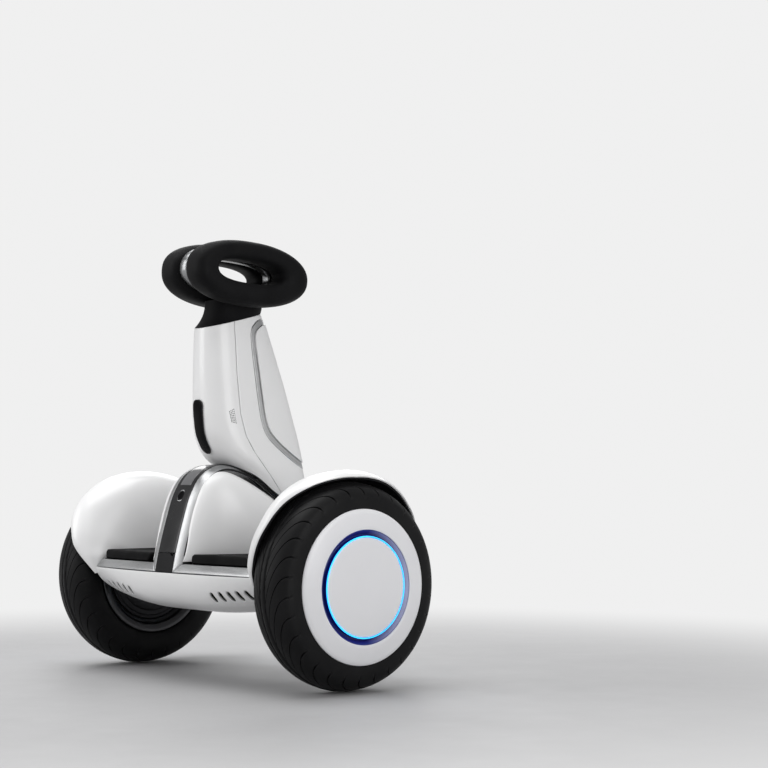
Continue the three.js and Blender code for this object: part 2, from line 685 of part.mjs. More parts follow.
const neckRows = [
  [480, -61, -22, 50, 29],
  [497, -57, -20, 44, 28],
  [508, -50, -18, 38, 25],
  [524.5, -52, -15, 34, 23],
];
const HEAD_LENGTH = 198;
const HEAD_HEIGHT = 92;
const CORE_HALF_WIDTH = 10.6;
const PAD_OUTER_X = 51;
const HOLE_LENGTH = 110;
const HOLE_HEIGHT = 34;
const HOLE_SHIFT = -9; // the hole sits behind the middle of the pad

function headOutline(length, height, shift, power, steps) {
  const outline = [];
  for (let i = 0; i < steps; i++) {
    const angle = (2 * Math.PI * i) / steps;
    const bend = (v) => Math.sign(v) * Math.abs(v) ** (2 / power);
    const y = shift + (length / 2) * bend(Math.cos(angle));
    const z = (height / 2) * bend(Math.sin(angle));
    outline.push(new THREE.Vector2(y, z));
  }
  return outline;
}
function placeHead(solid) {
  return solid
    .rotate([THREE.MathUtils.radToDeg(HEAD_LEAN), 0, 0])
    .translate([0, HEAD_CENTRE.y, HEAD_CENTRE.z]);
}
function addHead() {
  const hole = loftX([-60, 60], () => headOutline(HOLE_LENGTH, HOLE_HEIGHT, HOLE_SHIFT, 2.5, 28));
  const width = PAD_OUTER_X - CORE_HALF_WIDTH - GAP;
  const stations = [0, 0.12, 0.32, 0.68, 0.88, 1];
  const pad = loftX(
    stations.map((s) => CORE_HALF_WIDTH + GAP + width * s),
    (x) => {
      const s = (x - CORE_HALF_WIDTH - GAP) / width;
      const round = 9 * Math.abs(2 * s - 1) ** 3;
      return headOutline(HEAD_LENGTH - 2 * round, HEAD_HEIGHT - 2 * round, 0, 2.3, 36);
    },
  ).subtract(hole);
  addPair("knee_pad", placeHead(pad), softBlack);
  const wide = loftX([-CORE_HALF_WIDTH, CORE_HALF_WIDTH], () => headOutline(182, 88, 0, 2.3, 36));
  addPart("head_core", placeHead(wide.subtract(hole)), satinSilver);
  const heights = neckRows.map(([z]) => z);
  const neck = loftZ(heights, (z) => stemOutline(neckRows[heights.indexOf(z)], 0))
    .intersect(slopedSlab(0.5, 80))
    .subtract(leanBar(TUBE_RADIUS + GAP, 470, 518))
    .subtract(placeHead(loftX([-55, 55], () => headOutline(HEAD_LENGTH + 1, HEAD_HEIGHT + 1, 0, 2.3, 36))));
  addPart("neck", neck, softBlack);
  const tube = leanBar(TUBE_RADIUS, 312, 516).subtract(leanBar(TUBE_RADIUS - 2.5, 300, 530));
  addPart("inner_tube", tube, satinSilver);
}

addBody();
addStem();
addHead();
addWheels();
group.updateMatrixWorld(true);
export default group;
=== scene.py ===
"""Looks of a two-wheeled self-balancing scooter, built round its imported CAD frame.

Lengths in this script are millimetres until a mesh is made, and the axes are the frame's:
+Z up, +Y the way it drives, +X the rider's right.
"""

import json
import math

import bmesh
import bpy
import numpy as np
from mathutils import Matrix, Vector


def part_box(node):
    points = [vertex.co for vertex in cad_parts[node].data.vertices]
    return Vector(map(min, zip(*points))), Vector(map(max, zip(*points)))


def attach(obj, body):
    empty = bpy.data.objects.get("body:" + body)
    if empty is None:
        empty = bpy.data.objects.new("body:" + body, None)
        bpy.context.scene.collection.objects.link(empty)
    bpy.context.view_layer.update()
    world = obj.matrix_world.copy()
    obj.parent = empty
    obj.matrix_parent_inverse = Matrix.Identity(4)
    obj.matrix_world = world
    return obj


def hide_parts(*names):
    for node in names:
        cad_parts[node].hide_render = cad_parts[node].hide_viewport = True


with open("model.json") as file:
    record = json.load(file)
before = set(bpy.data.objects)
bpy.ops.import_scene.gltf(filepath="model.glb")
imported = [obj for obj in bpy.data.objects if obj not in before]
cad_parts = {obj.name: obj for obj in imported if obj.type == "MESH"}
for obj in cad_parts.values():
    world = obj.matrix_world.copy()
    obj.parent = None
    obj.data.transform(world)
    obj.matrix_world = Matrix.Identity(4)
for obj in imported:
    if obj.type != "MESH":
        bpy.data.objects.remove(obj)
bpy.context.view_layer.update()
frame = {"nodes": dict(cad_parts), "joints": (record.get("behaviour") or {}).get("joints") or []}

MM = 0.001
SIDES = {"right": 1, "left": -1}


def cad_box(node):
    """Lowest and highest corner of a CAD node, in millimetres."""
    low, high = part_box(node)
    return np.array(low) / MM, np.array(high) / MM


# ---- Places read from the frame ----
tyre_low, tyre_high = cad_box("right_tyre")
TYRE_RADIUS = (tyre_high[2] - tyre_low[2]) / 2
AXLE_Z = TYRE_RADIUS
WHEEL_X = (tyre_low[0] + tyre_high[0]) / 2
TYRE_HALF_WIDTH = (tyre_high[0] - tyre_low[0]) / 2
BODY_HALF_WIDTH = cad_box("lower_shell")[1][0]
BELLY_Z = cad_box("lower_shell")[0][2]
STRIP_HALF_WIDTH = cad_box("arch_strip")[1][0]
ARCH_HALF_WIDTH = cad_box("right_arch_trim")[1][0]
ARCH_TOP = cad_box("arch_strip")[1][2]
ARCH_FRONT_Y = cad_box("arch_strip")[1][1]
pad_low, pad_high = cad_box("right_knee_pad")
HEAD_Y = (pad_low[1] + pad_high[1]) / 2
HEAD_Z = (pad_low[2] + pad_high[2]) / 2
steering = next(j for j in frame["joints"] if j["name"] == "steering_tilt")
PIVOT_Z = steering["pos_m"][2] / MM

tilt_limit = math.radians(max(steering["range_deg"]))

# ---- Sizes that only the looks need ----
REAR_SEAM_Z = 151.0
STEM_CLEARANCE = 1.6  # stem over the arch
HUMP_CLEARANCE = 0.8  # stem over the hump at any lean
TILT_SWEEP = tilt_limit + math.radians(0.1)
ARCH_DROP = 6.3  # how far the arch's edges sit below its middle
HUMP_START_X = ARCH_HALF_WIDTH - 1.5
HUMP_POWER = 2.1
SHELL = 2.6  # wall of a moulding
EDGE = 0.9  # radius of a moulding's rim
SEAM_GAP = 0.35


# ---- Curves ----
def spline(points, samples):
    """A smooth curve through 2-D points, evenly spaced along its length."""
    p = np.array(points, float)
    p = np.vstack([2 * p[0] - p[1], p, 2 * p[-1] - p[-2]])
    fine = []
    for i in range(1, len(p) - 2):
        t = np.linspace(0, 1, 24, endpoint=i == len(p) - 3)[:, None]
        a, b, c, d = p[i - 1], p[i], p[i + 1], p[i + 2]
        fine.append(0.5 * (2 * b + (c - a) * t + (2 * a - 5 * b + 4 * c - d) * t**2
                           + (3 * b - a - 3 * c + d) * t**3))
    return even(np.vstack(fine), samples)


def even(points, samples):
    """The same polyline with evenly spaced points."""
    length = np.concatenate([[0], np.cumsum(np.linalg.norm(np.diff(points, axis=0), axis=1))])
    at = np.linspace(0, length[-1], samples)
    return np.stack([np.interp(at, length, points[:, k]) for k in range(points.shape[1])], 1)


def smooth_rows(rows, at):
    """Catmull-Rom interpolation of a table whose first column rises, read at the values `at`."""
    rows = np.array(rows, float)
    x, y = rows[:, 0], rows[:, 1:]
    slope = np.gradient(y, x, axis=0)
    at = np.clip(np.asarray(at, float), x[0], x[-1])
    i = np.clip(np.searchsorted(x, at, "right") - 1, 0, len(x) - 2)
    span = (x[i + 1] - x[i])
    t = ((at - x[i]) / span)[..., None]
    span = span[..., None]
    value = ((2 * t**3 - 3 * t**2 + 1) * y[i] + (t**3 - 2 * t**2 + t) * span * slope[i]
             + (3 * t**2 - 2 * t**3) * y[i + 1] + (t**3 - t**2) * span * slope[i + 1])
    return np.moveaxis(value, -1, 0)


def power(value, exponent):
    """A signed power, which turns a circle into a superellipse."""
    return np.sign(value) * np.abs(value) ** exponent


def ease(value):
    value = np.clip(value, 0, 1)
    return value * value * (3 - 2 * value)


def offset(curve, distance):
    """A 2-D curve moved to its right-hand side."""
    along = np.gradient(curve, axis=0)
    along /= np.linalg.norm(along, axis=1)[:, None]
    return curve + np.stack([along[:, 1], -along[:, 0]], 1) * np.reshape(distance, (-1, 1))


# ---- Meshes ----
def sharp_edges(mesh, angle):
    work = bmesh.new()
    work.from_mesh(mesh)
    bmesh.ops.remove_doubles(work, verts=work.verts, dist=1e-6)
    bmesh.ops.recalc_face_normals(work, faces=work.faces)
    for face in work.faces:
        face.smooth = True
    for edge in work.edges:
        edge.smooth = not (len(edge.link_faces) == 2 and edge.calc_face_angle(0) > angle)
    work.to_mesh(mesh)
    work.free()


def piece(name, geometry, material, body, node=None, sharp=38):
    """One finished object from (points in mm, faces), riding on a CAD body in place of a CAD node."""
    points, faces = geometry
    mesh = bpy.data.meshes.new(name)
    mesh.from_pydata((np.asarray(points) * MM).tolist(), [], faces)
    sharp_edges(mesh, math.radians(sharp))
    obj = bpy.data.objects.new(name, mesh)
    bpy.context.scene.collection.objects.link(obj)
    mesh.materials.append(M[material])
    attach(obj, body)
    if node:
        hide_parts(node)
    return obj


def joined(*geometries):
    points, faces, base = [], [], 0
    for p, f in geometries:
        points.append(np.asarray(p))
        faces += [[i + base for i in face] for face in f]
        base += len(p)
    return np.vstack(points), faces


def mirrored(geometry):
    points, faces = geometry
    return np.asarray(points) * [-1, 1, 1], [face[::-1] for face in faces]


def sided(geometry, side):
    return geometry if side > 0 else mirrored(geometry)


def pair(name, geometry, material, body, node=None, sharp=38):
    """A piece and its mirror image, from the right-hand geometry. Each hides and stands in for the CAD node
    of its own side, if a node is named.
    """
    for side_name, side in SIDES.items():
        own_node = node and f"{side_name}_{node}"
        piece(f"{side_name}_{name}", sided(geometry, side), material, body, own_node, sharp)


def grid_faces(rows, columns, close_rows=False, close_columns=False, base=0):
    faces = []
    for i in range(rows if close_rows else rows - 1):
        for j in range(columns if close_columns else columns - 1):
            a, b = i, (i + 1) % rows
            c, d = j, (j + 1) % columns
            faces.append([base + a * columns + c, base + a * columns + d,
                          base + b * columns + d, base + b * columns + c])
    return faces


def loft(rings, caps=True):
    """A tube through closed rings of points, with its ends filled."""
    rings = np.asarray(rings, float)
    rows, columns = rings.shape[:2]
    faces = grid_faces(rows, columns, close_columns=True)
    if caps:
        faces.append(list(range(columns))[::-1])
        faces.append(list(range((rows - 1) * columns, rows * columns)))
    return rings.reshape(-1, 3), faces


def rounded(corners, radii, steps=5):
    """A closed 2-D outline whose corners are arcs."""
    corners = np.array(corners, float)
    count = len(corners)
    radii = np.broadcast_to(radii, count)
    out = []
    for i in range(count):
        before, here, after = corners[i - 1], corners[i], corners[(i + 1) % count]
        to_before, to_after = before - here, after - here
        reach = min(np.linalg.norm(to_before), np.linalg.norm(to_after)) * 0.49
        cut = min(radii[i], reach)
        a = here + to_before / np.linalg.norm(to_before) * cut
        b = here + to_after / np.linalg.norm(to_after) * cut
        for t in np.linspace(0, 1, steps):
            out.append((1 - t) ** 2 * a + 2 * t * (1 - t) * here + t**2 * b)
    return np.array(out)


def lathe(profile, segments=128):
    """Turns a closed (radius, along x) profile about the right wheel's axis."""
    profile = np.asarray(profile, float)
    turn = (2 * np.pi * np.arange(segments) / segments)[:, None] + 0 * profile[:, 0]
    radius, along = profile[:, 0] + 0 * turn, profile[:, 1] + 0 * turn
    points = np.stack([WHEEL_X + along, radius * np.sin(turn), AXLE_Z + radius * np.cos(turn)], -1)
    return points.reshape(-1, 3), grid_faces(segments, len(profile), True, True)


def disc(profile, segments=128):
    """As lathe, for a profile that starts and ends on the axis."""
    profile = np.asarray(profile, float)
    points, _ = lathe(profile[1:-1], segments)
    count = len(profile) - 2
    faces = grid_faces(segments, count, close_rows=True)
    ends = [[WHEEL_X + profile[k, 1], 0, AXLE_Z] for k in (0, -1)]
    first, last = len(points), len(points) + 1
    for i in range(segments):
        j = (i + 1) % segments
        faces.append([first, i * count, j * count])
        faces.append([last, j * count + count - 1, i * count + count - 1])
    return np.vstack([points, ends]), faces


def edge_stations(count, length, radius, wrap):
    """Parameter values 0..1, with extra ones near both ends for a rounded rim."""
    if wrap:
        return np.linspace(0, 1, count, endpoint=False)
    near = np.array([0, 0.08, 0.3, 0.65, 1.0]) * min(radius / length, 0.2)
    middle = np.linspace(near[-1], 1 - near[-1], count)[1:-1]
    return np.concatenate([near, middle, 1 - near[::-1]])


def panel(surface, rows, columns, size, thick=SHELL, radius=EDGE, wrap=False, flip=False):
    """A moulded panel over surface(s, t), 0..1 each, with rounded rims and an inner face.

    size is the rough length of the panel along s and t. wrap closes it along t.
    """
    s = edge_stations(rows, size[0], radius, False)
    t = edge_stations(columns, size[1], radius, wrap)
    grid_s, grid_t = np.meshgrid(s, t, indexing="ij")
    p = surface(grid_s, grid_t)
    step = 1e-4
    s0, s1 = np.clip(grid_s - step, 0, 1), np.clip(grid_s + step, 0, 1)
    t0, t1 = grid_t - step, grid_t + step
    if not wrap:
        t0, t1 = np.clip(t0, 0, 1), np.clip(t1, 0, 1)
    normal = np.cross(surface(s1, grid_t) - surface(s0, grid_t), surface(grid_s, t1) - surface(grid_s, t0))
    length = np.linalg.norm(normal, axis=-1, keepdims=True)
    normal = normal / np.maximum(length, 1e-12) * (-1 if flip else 1)

    def rim_distance(axis):
        lengths = np.linalg.norm(np.diff(p, axis=axis), axis=-1)
        run = np.cumsum(lengths, axis=axis)
        zero = np.zeros_like(np.take(run, [0], axis))
        run = np.concatenate([zero, run], axis)
        return np.minimum(run, np.take(run, [-1], axis) - run)

    distance = rim_distance(0)
    if not wrap:
        distance = np.minimum(distance, rim_distance(1))
    inward = np.clip(radius - distance, 0, radius)
    depth = radius - np.sqrt(np.maximum(radius**2 - inward**2, 0))
    outer = p - normal * depth[..., None]
    inner = p - normal * thick
    rows, columns = p.shape[:2]
    count = rows * columns
    faces = grid_faces(rows, columns, close_columns=wrap)
    faces += [face[::-1] for face in grid_faces(rows, columns, close_columns=wrap, base=count)]
    rim = [[i * columns + j for j in range(columns)] for i in (0, rows - 1)]
    loops = [rim[0] + ([rim[0][0]] if wrap else []), rim[1] + ([rim[1][0]] if wrap else [])]
    if not wrap:
        loops += [[i * columns for i in range(rows)], [i * columns + columns - 1 for i in range(rows)]]
    for k, loop in enumerate(loops):
        for a, b in zip(loop, loop[1:]):
            quad = [a, b, b + count, a + count]
            faces.append(quad if k in (1, 2) else quad[::-1])
    return np.vstack([outer.reshape(-1, 3), inner.reshape(-1, 3)]), faces


# ---- Materials: every one is built from nodes ----
class Nodes:
    """A small helper for wiring a principled material."""

    def __init__(self, name, **inputs):
        self.material = bpy.data.materials.new(name)
        self.material.use_nodes = True
        self.tree = self.material.node_tree
        self.shader = self.tree.nodes["Principled BSDF"]
        self.coordinates = self.add("ShaderNodeTexCoord").outputs["Object"]
        for key, value in inputs.items():
            self.set(key.replace("_", " "), value)

    def add(self, kind, **values):
        node = self.tree.nodes.new(kind)
        for key, value in values.items():
            if key in node.inputs:
                node.inputs[key].default_value = value
            else:
                setattr(node, key, value)
        return node

    def link(self, source, node, key):
        self.tree.links.new(source, node.inputs[key])

    def set(self, key, value):
        self.shader.inputs[key].default_value = value

    def noise(self, scale, detail=4.0, roughness=0.55, stretch=(1, 1, 1)):
        """Noise in object space; scale is in features per metre."""
        mapping = self.add("ShaderNodeMapping")
        mapping.inputs["Scale"].default_value = stretch
        self.link(self.coordinates, mapping, "Vector")
        node = self.add("ShaderNodeTexNoise", Scale=scale, Detail=detail, Roughness=roughness)
        self.link(mapping.outputs["Vector"], node, "Vector")
        return node.outputs["Fac"]

    def spread(self, source, low, high, from_low=0.3, from_high=0.7):
        node = self.add("ShaderNodeMapRange")
        node.inputs["From Min"].default_value = from_low
        node.inputs["From Max"].default_value = from_high
        node.inputs["To Min"].default_value = low
        node.inputs["To Max"].default_value = high
        self.link(source, node, "Value")
        return node.outputs["Result"]

    def mix(self, factor, first, second):
        node = self.add("ShaderNodeMix", data_type="RGBA")
        for key, value in (("A", first), ("B", second)):
            socket = next(s for s in node.inputs if s.name == key and s.type == "RGBA")
            if isinstance(value, tuple):
                socket.default_value = (*value, 1)
            else:
                self.tree.links.new(value, socket)
        self.tree.links.new(factor, node.inputs[0])
        return next(s for s in node.outputs if s.type == "RGBA")

    def bump(self, height, distance, strength=1.0, normal=None):
        node = self.add("ShaderNodeBump", Strength=strength, Distance=distance * MM)
        self.link(height, node, "Height")
        if normal is not None:
            self.link(normal, node, "Normal")
        return node.outputs["Normal"]

    def edge_wear(self, low=0.53, high=0.6):
        """High on outside edges, from the mesh's own curvature."""
        point = self.add("ShaderNodeNewGeometry").outputs["Pointiness"]
        return self.spread(point, 0, 1, low, high)


def moulded(name, color, roughness=0.3, coat=0.25, mottle=0.03, texture=0.012, scuff=0.1, specular=0.5):
    """Painted or moulded plastic: fine orange peel, faint mottling, handling marks, worn rims."""
    m = Nodes(name)
    m.set("Coat Weight", coat)
    m.set("Coat Roughness", 0.12)
    m.set("Specular IOR Level", specular)
    m.set("IOR", 1.5)
    dark = tuple(c * (1 - mottle) for c in color)
    tone = m.mix(m.spread(m.noise(14), 0, 1), color, dark)
    worn = m.mix(m.spread(m.edge_wear(), 0, 0.2, 0, 1), tone,
                 tuple(min(1, c * 1.08 + 0.004) for c in color))
    m.link(worn, m.shader, "Base Color")
    smudge = m.spread(m.noise(38, 6), roughness - scuff * 0.4, roughness + scuff * 0.6)
    m.link(smudge, m.shader, "Roughness")
    peel = m.bump(m.noise(900, 2), texture)
    scratch = m.bump(m.noise(160, 3, 0.7, (1, 9, 1.5)), texture * 0.3, 0.4, peel)
    m.link(scratch, m.shader, "Normal")
    return m.material


def facing_shaded(name, dark, pale):
    """Painted light and shade on a glossy coat: the pale lit colour where the surface faces -y, the deep blue
    of ring light in shade where it faces other ways.
    """
    m = Nodes(name)
    facing = m.add("ShaderNodeSeparateXYZ")
    m.link(m.add("ShaderNodeNewGeometry").outputs["Normal"], facing, "Vector")
    # Painted light and shade: facing -y gives the pale lit colour, other ways the deep blue shaded, ring-lit
    # colour.
    painted_light_shift = m.spread(facing.outputs["Y"], 1, 0, -0.8, -0.05)
    soft = m.mix(m.spread(m.noise(60, 3), 0, 0.08), m.mix(painted_light_shift, dark, pale), dark)
    worn = m.mix(m.spread(m.edge_wear(), 0, 0.3, 0, 1), soft, pale)
    m.link(worn, m.shader, "Base Color")
    m.link(m.spread(m.noise(38, 6), 0.28, 0.42), m.shader, "Roughness")
    m.link(m.bump(m.noise(900, 2), 0.004), m.shader, "Normal")
    return m.material


def metal(name, color, roughness=0.24, grain=(1, 40, 40), brushed=0.0012):
    """Satin metal with brushed lines along one axis, tarnish and bright rims."""
    m = Nodes(name, Metallic=1.0)
    m.set("Anisotropic", 0.55)
    tone = m.mix(m.spread(m.noise(22, 5), 0, 1), color, tuple(c * 0.86 for c in color))
    bright = m.mix(m.spread(m.edge_wear(), 0, 0.6, 0, 1), tone, tuple(min(1, c * 1.2) for c in color))
    m.link(bright, m.shader, "Base Color")
    lines = m.noise(60, 3, 0.6, grain)
    m.link(m.spread(lines, roughness * 0.75, roughness * 1.35), m.shader, "Roughness")
    m.link(m.bump(lines, brushed, 0.7), m.shader, "Normal")
    return m.material


def rubber(name, color, roughness=0.72, grain=2.2, depth=0.05, dust=0.35, sheen=0.03, specular=0.08,
           worn=0.008):
    """Soft black rubber or skinned foam: leathery grain, dusty high spots, soft sheen."""
    m = Nodes(name)
    m.set("Sheen Weight", sheen)
    m.set("Sheen Roughness", 0.4)
    m.set("Specular IOR Level", specular)
    pale = tuple(c + 0.006 for c in color)
    tone = m.mix(m.spread(m.noise(30, 7), 0, dust), color, pale)
    # Paler rims: worn rubber; on the tyre, with its large worn value, also a painted highlight on the sipe
    # and shoulder edges.
    edges = m.mix(m.spread(m.edge_wear(), 0, 0.5, 0, 1), tone, tuple(c + worn for c in color))
    m.link(edges, m.shader, "Base Color")
    m.link(m.spread(m.noise(24, 5), roughness - 0.1, roughness + 0.1), m.shader, "Roughness")
    cells = m.add("ShaderNodeTexVoronoi", Scale=1000 / grain)
    m.link(m.coordinates, cells, "Vector")
    leather = m.bump(cells.outputs["Distance"], depth, 0.5)
    m.link(m.bump(m.noise(1400, 2), depth * 0.5, 0.5, leather), m.shader, "Normal")
    return m.material


def lamp(name, color, strength, core=None):
    """A lit diffuser with a slightly uneven glow."""
    m = Nodes(name)
    m.set("Base Color", (*color, 1))
    m.set("Roughness", 0.35)
    m.set("Emission Color", (*(core or color), 1))
    m.link(m.spread(m.noise(45, 2), strength * 0.85, strength * 1.15), m.shader, "Emission Strength")
    m.link(m.bump(m.noise(700, 2), 0.02), m.shader, "Normal")
    return m.material


WHITE = (0.81, 0.81, 0.812)
M = {
    "white": moulded("white_shell", WHITE, 0.3, 0.25, 0.02, 0.004, 0.05),
    "white_disc": moulded("white_hub", (0.82, 0.82, 0.84), 0.34, 0.2, 0.02, 0.004, 0.05),
    "glossy": moulded("black_gloss", (0.002, 0.002, 0.0025), 0.2, 0.0, 0.2, 0.004, 0.06, 0.05),
    "charcoal": moulded("charcoal_band", (0.012, 0.012, 0.013), 0.24, 0.1, 0.2, 0.004, 0.08, 0.3),
    "smoke": moulded("smoked_band", (0.13, 0.13, 0.135), 0.16, 0.5, 0.1, 0.004, 0.06),
    "lining": moulded("fender_lining", (0.02, 0.02, 0.022), 0.55, 0.0, 0.15, 0.05, 0.1, 0.2),
    "dark_plastic": moulded("dark_plastic", (0.010, 0.010, 0.011), 0.5, 0.0, 0.2, 0.02, 0.1, 0.25),
    # Two copies of one trim silver: a darker one, painted shade, for the arch, rear and button trims; a
    # lighter one, painted light, for the stem's loop.
    "silver": metal("trim_silver_shaded_copy", (0.44, 0.445, 0.45), 0.34),
    "trim_silver_lit_copy": metal("trim_silver_lit_copy", (0.66, 0.665, 0.67), 0.42, (40, 40, 1)),
    # Painted shade: the head core's silver is darkened for its recess and the dark pads it mirrors.
    "core": metal("core_silver_painted_shade", (0.30, 0.305, 0.31), 0.3, (40, 1, 40)),
    "tube_metal": metal("tube_metal", (0.55, 0.56, 0.57), 0.3, (40, 40, 1)),
    "dark_metal": metal("dark_casting", (0.03, 0.03, 0.032), 0.36, (6, 6, 6), 0.02),
    "rim": metal("rim_casting", (0.09, 0.09, 0.094), 0.34, (6, 6, 6), 0.015),
    "cast": metal("cast_alloy", (0.42, 0.43, 0.44), 0.45, (5, 5, 5), 0.03),
    "steel": metal("ground_steel", (0.5, 0.5, 0.51), 0.25, (1, 30, 30)),
    "copper": metal("copper_windings", (0.55, 0.25, 0.1), 0.35, (60, 2, 2), 0.2),
    "pad": rubber("pad_skin", (0.0045, 0.0045, 0.005), 0.6, 1.6, 0.02),
    "mat": rubber("mat_rubber", (0.0025, 0.0025, 0.0028), 0.6, 1.2, 0.02, 0.35, 0.0, 0.05, 0.004),
    # The tyre's high worn value lightens its edges: part wear, part painted highlight.
    "tyre": rubber("tyre_rubber", (0.0055, 0.0055, 0.006), 0.5, 1.4, 0.02, 0.6, 0.02, 0.13, 0.06),
    "cover": rubber("soft_cover", (0.012, 0.012, 0.013), 0.5, 0.9, 0.01),
    # The ring bevel is white plastic; its deep blue is painted ring light in shade and its pale lavender is
    # painted light from the lit side.
    "groove": facing_shaded("ring_bevel", (0.02, 0.022, 0.2), (0.62, 0.60, 0.76)),
    # Painted light: the channel's deep blue stands in for the blue ring's glow falling on it.
    "ring_lit_navy": moulded("ring_channel", (0.006, 0.016, 0.24), 0.3, 0.2, 0.2, 0.004, 0.05),
    "glow": lamp("blue_glow", (0.03, 0.42, 1.0), 1.7, (0.03, 0.42, 1.0)),
    "led": lamp("blue_light_bar", (0.05, 0.55, 1.0), 2.5, (0.04, 0.5, 1.0)),
    "mark": lamp("display_marks", (0.35, 0.36, 0.38), 0.25),
    "battery": moulded("battery_wrap", (0.03, 0.06, 0.11), 0.4, 0.1, 0.2, 0.2),
    "board": moulded("circuit_board", (0.015, 0.1, 0.04), 0.4, 0.2, 0.3, 0.1),
}
KEPT_NODES = {
    "chassis_frame": "cast", "stem_casting": "cast", "battery_pack": "battery", "control_board": "board",
    "charge_socket": "dark_plastic", "front_pivot_bearing": "steel", "rear_pivot_bearing": "steel",
    "centring_bush": "cover", "foot_sensor": "cover", "steering_shaft": "steel", "outer_tube": "cast",
    "height_clamp": "steel", "top_collar": "dark_plastic", "inner_tube": "tube_metal",
    "inner_bearing": "steel", "outer_bearing": "steel", "axle": "steel", "stator": "copper",
}


def paint_kept_nodes():
    for name, obj in frame["nodes"].items():
        plain = name.removeprefix("left_").removeprefix("right_")
        if plain in KEPT_NODES:
            obj.data.materials.clear()
            obj.data.materials.append(M[KEPT_NODES[plain]])


# ---- Wheels ----
PITCHES = 30
TREAD_SWEEP = math.radians(38)


def tyre_profile():
    """Outer section from bead to bead, then the inner face back again; and its tread share, 0..1."""
    half = spline([[85, 28.2], [90.5, 29.5], [93.5, 33.6], [101, TYRE_HALF_WIDTH], [111, 36.4], [118, 35.3],
                   [124, 32.8], [131, 25.8], [135.8, 14.5], [TYRE_RADIUS - 0.6, 0]], 52)
    outer = np.vstack([half * [1, -1], half[-2::-1]])
    inside = np.array([[88, 25], [98, 31.4], [110, 31], [120, 25], [131, 12]])
    inner = np.vstack([inside, inside[::-1] * [1, -1]])
    tread = np.zeros(len(outer) + len(inner))
    tread[:len(outer)] = ease((outer[:, 0] - 114) / 8)
    return np.vstack([outer, inner]), tread


def make_tyre():
    """Long sipes sweep back from the middle of the tread and end in steps on the shoulder."""
    profile, tread = tyre_profile()
    across = np.clip(profile[:, 1] / 34, -1, 1)
    twist = TREAD_SWEEP * (1 - (1 - np.abs(across)) ** 1.7)
    twist[profile[:, 0] < 104] = TREAD_SWEEP
    pitch = 2 * math.pi / PITCHES
    half_cut = 1.5 / TYRE_RADIUS
    local = [-half_cut, -half_cut * 0.45, half_cut * 0.45, half_cut]
    local += list(np.linspace(half_cut, pitch - half_cut, 9)[1:-1])
    angles = np.array([k * pitch + v for k in range(PITCHES) for v in local])
    cuts = np.tile([float(i in (1, 2)) for i in range(len(local))], PITCHES)
    fade = tread * ease((np.abs(across) - 0.06) / 0.12) * ease((1.04 - np.abs(across)) / 0.1)
    ring = np.exp(-((np.abs(profile[:, 1]) - 4.5) / 0.9) ** 2) * tread
    depth = -(2.6 * cuts[:, None] * fade[None, :] + 1.6 * ring[None, :])
    normal = offset(np.vstack([profile, profile[:1]]), 1.0)[:-1] - profile
    if normal[len(profile) // 3, 0] < 0:
        normal = -normal
    turn = angles[:, None] + twist[None, :]
    radius = profile[None, :, 0] + depth * normal[None, :, 0]
    along = profile[None, :, 1] + depth * normal[None, :, 1]
    points = np.stack([WHEEL_X + along, radius * np.sin(turn), AXLE_Z + radius * np.cos(turn)], -1)
    return points.reshape(-1, 3), grid_faces(len(angles), len(profile), True, True)


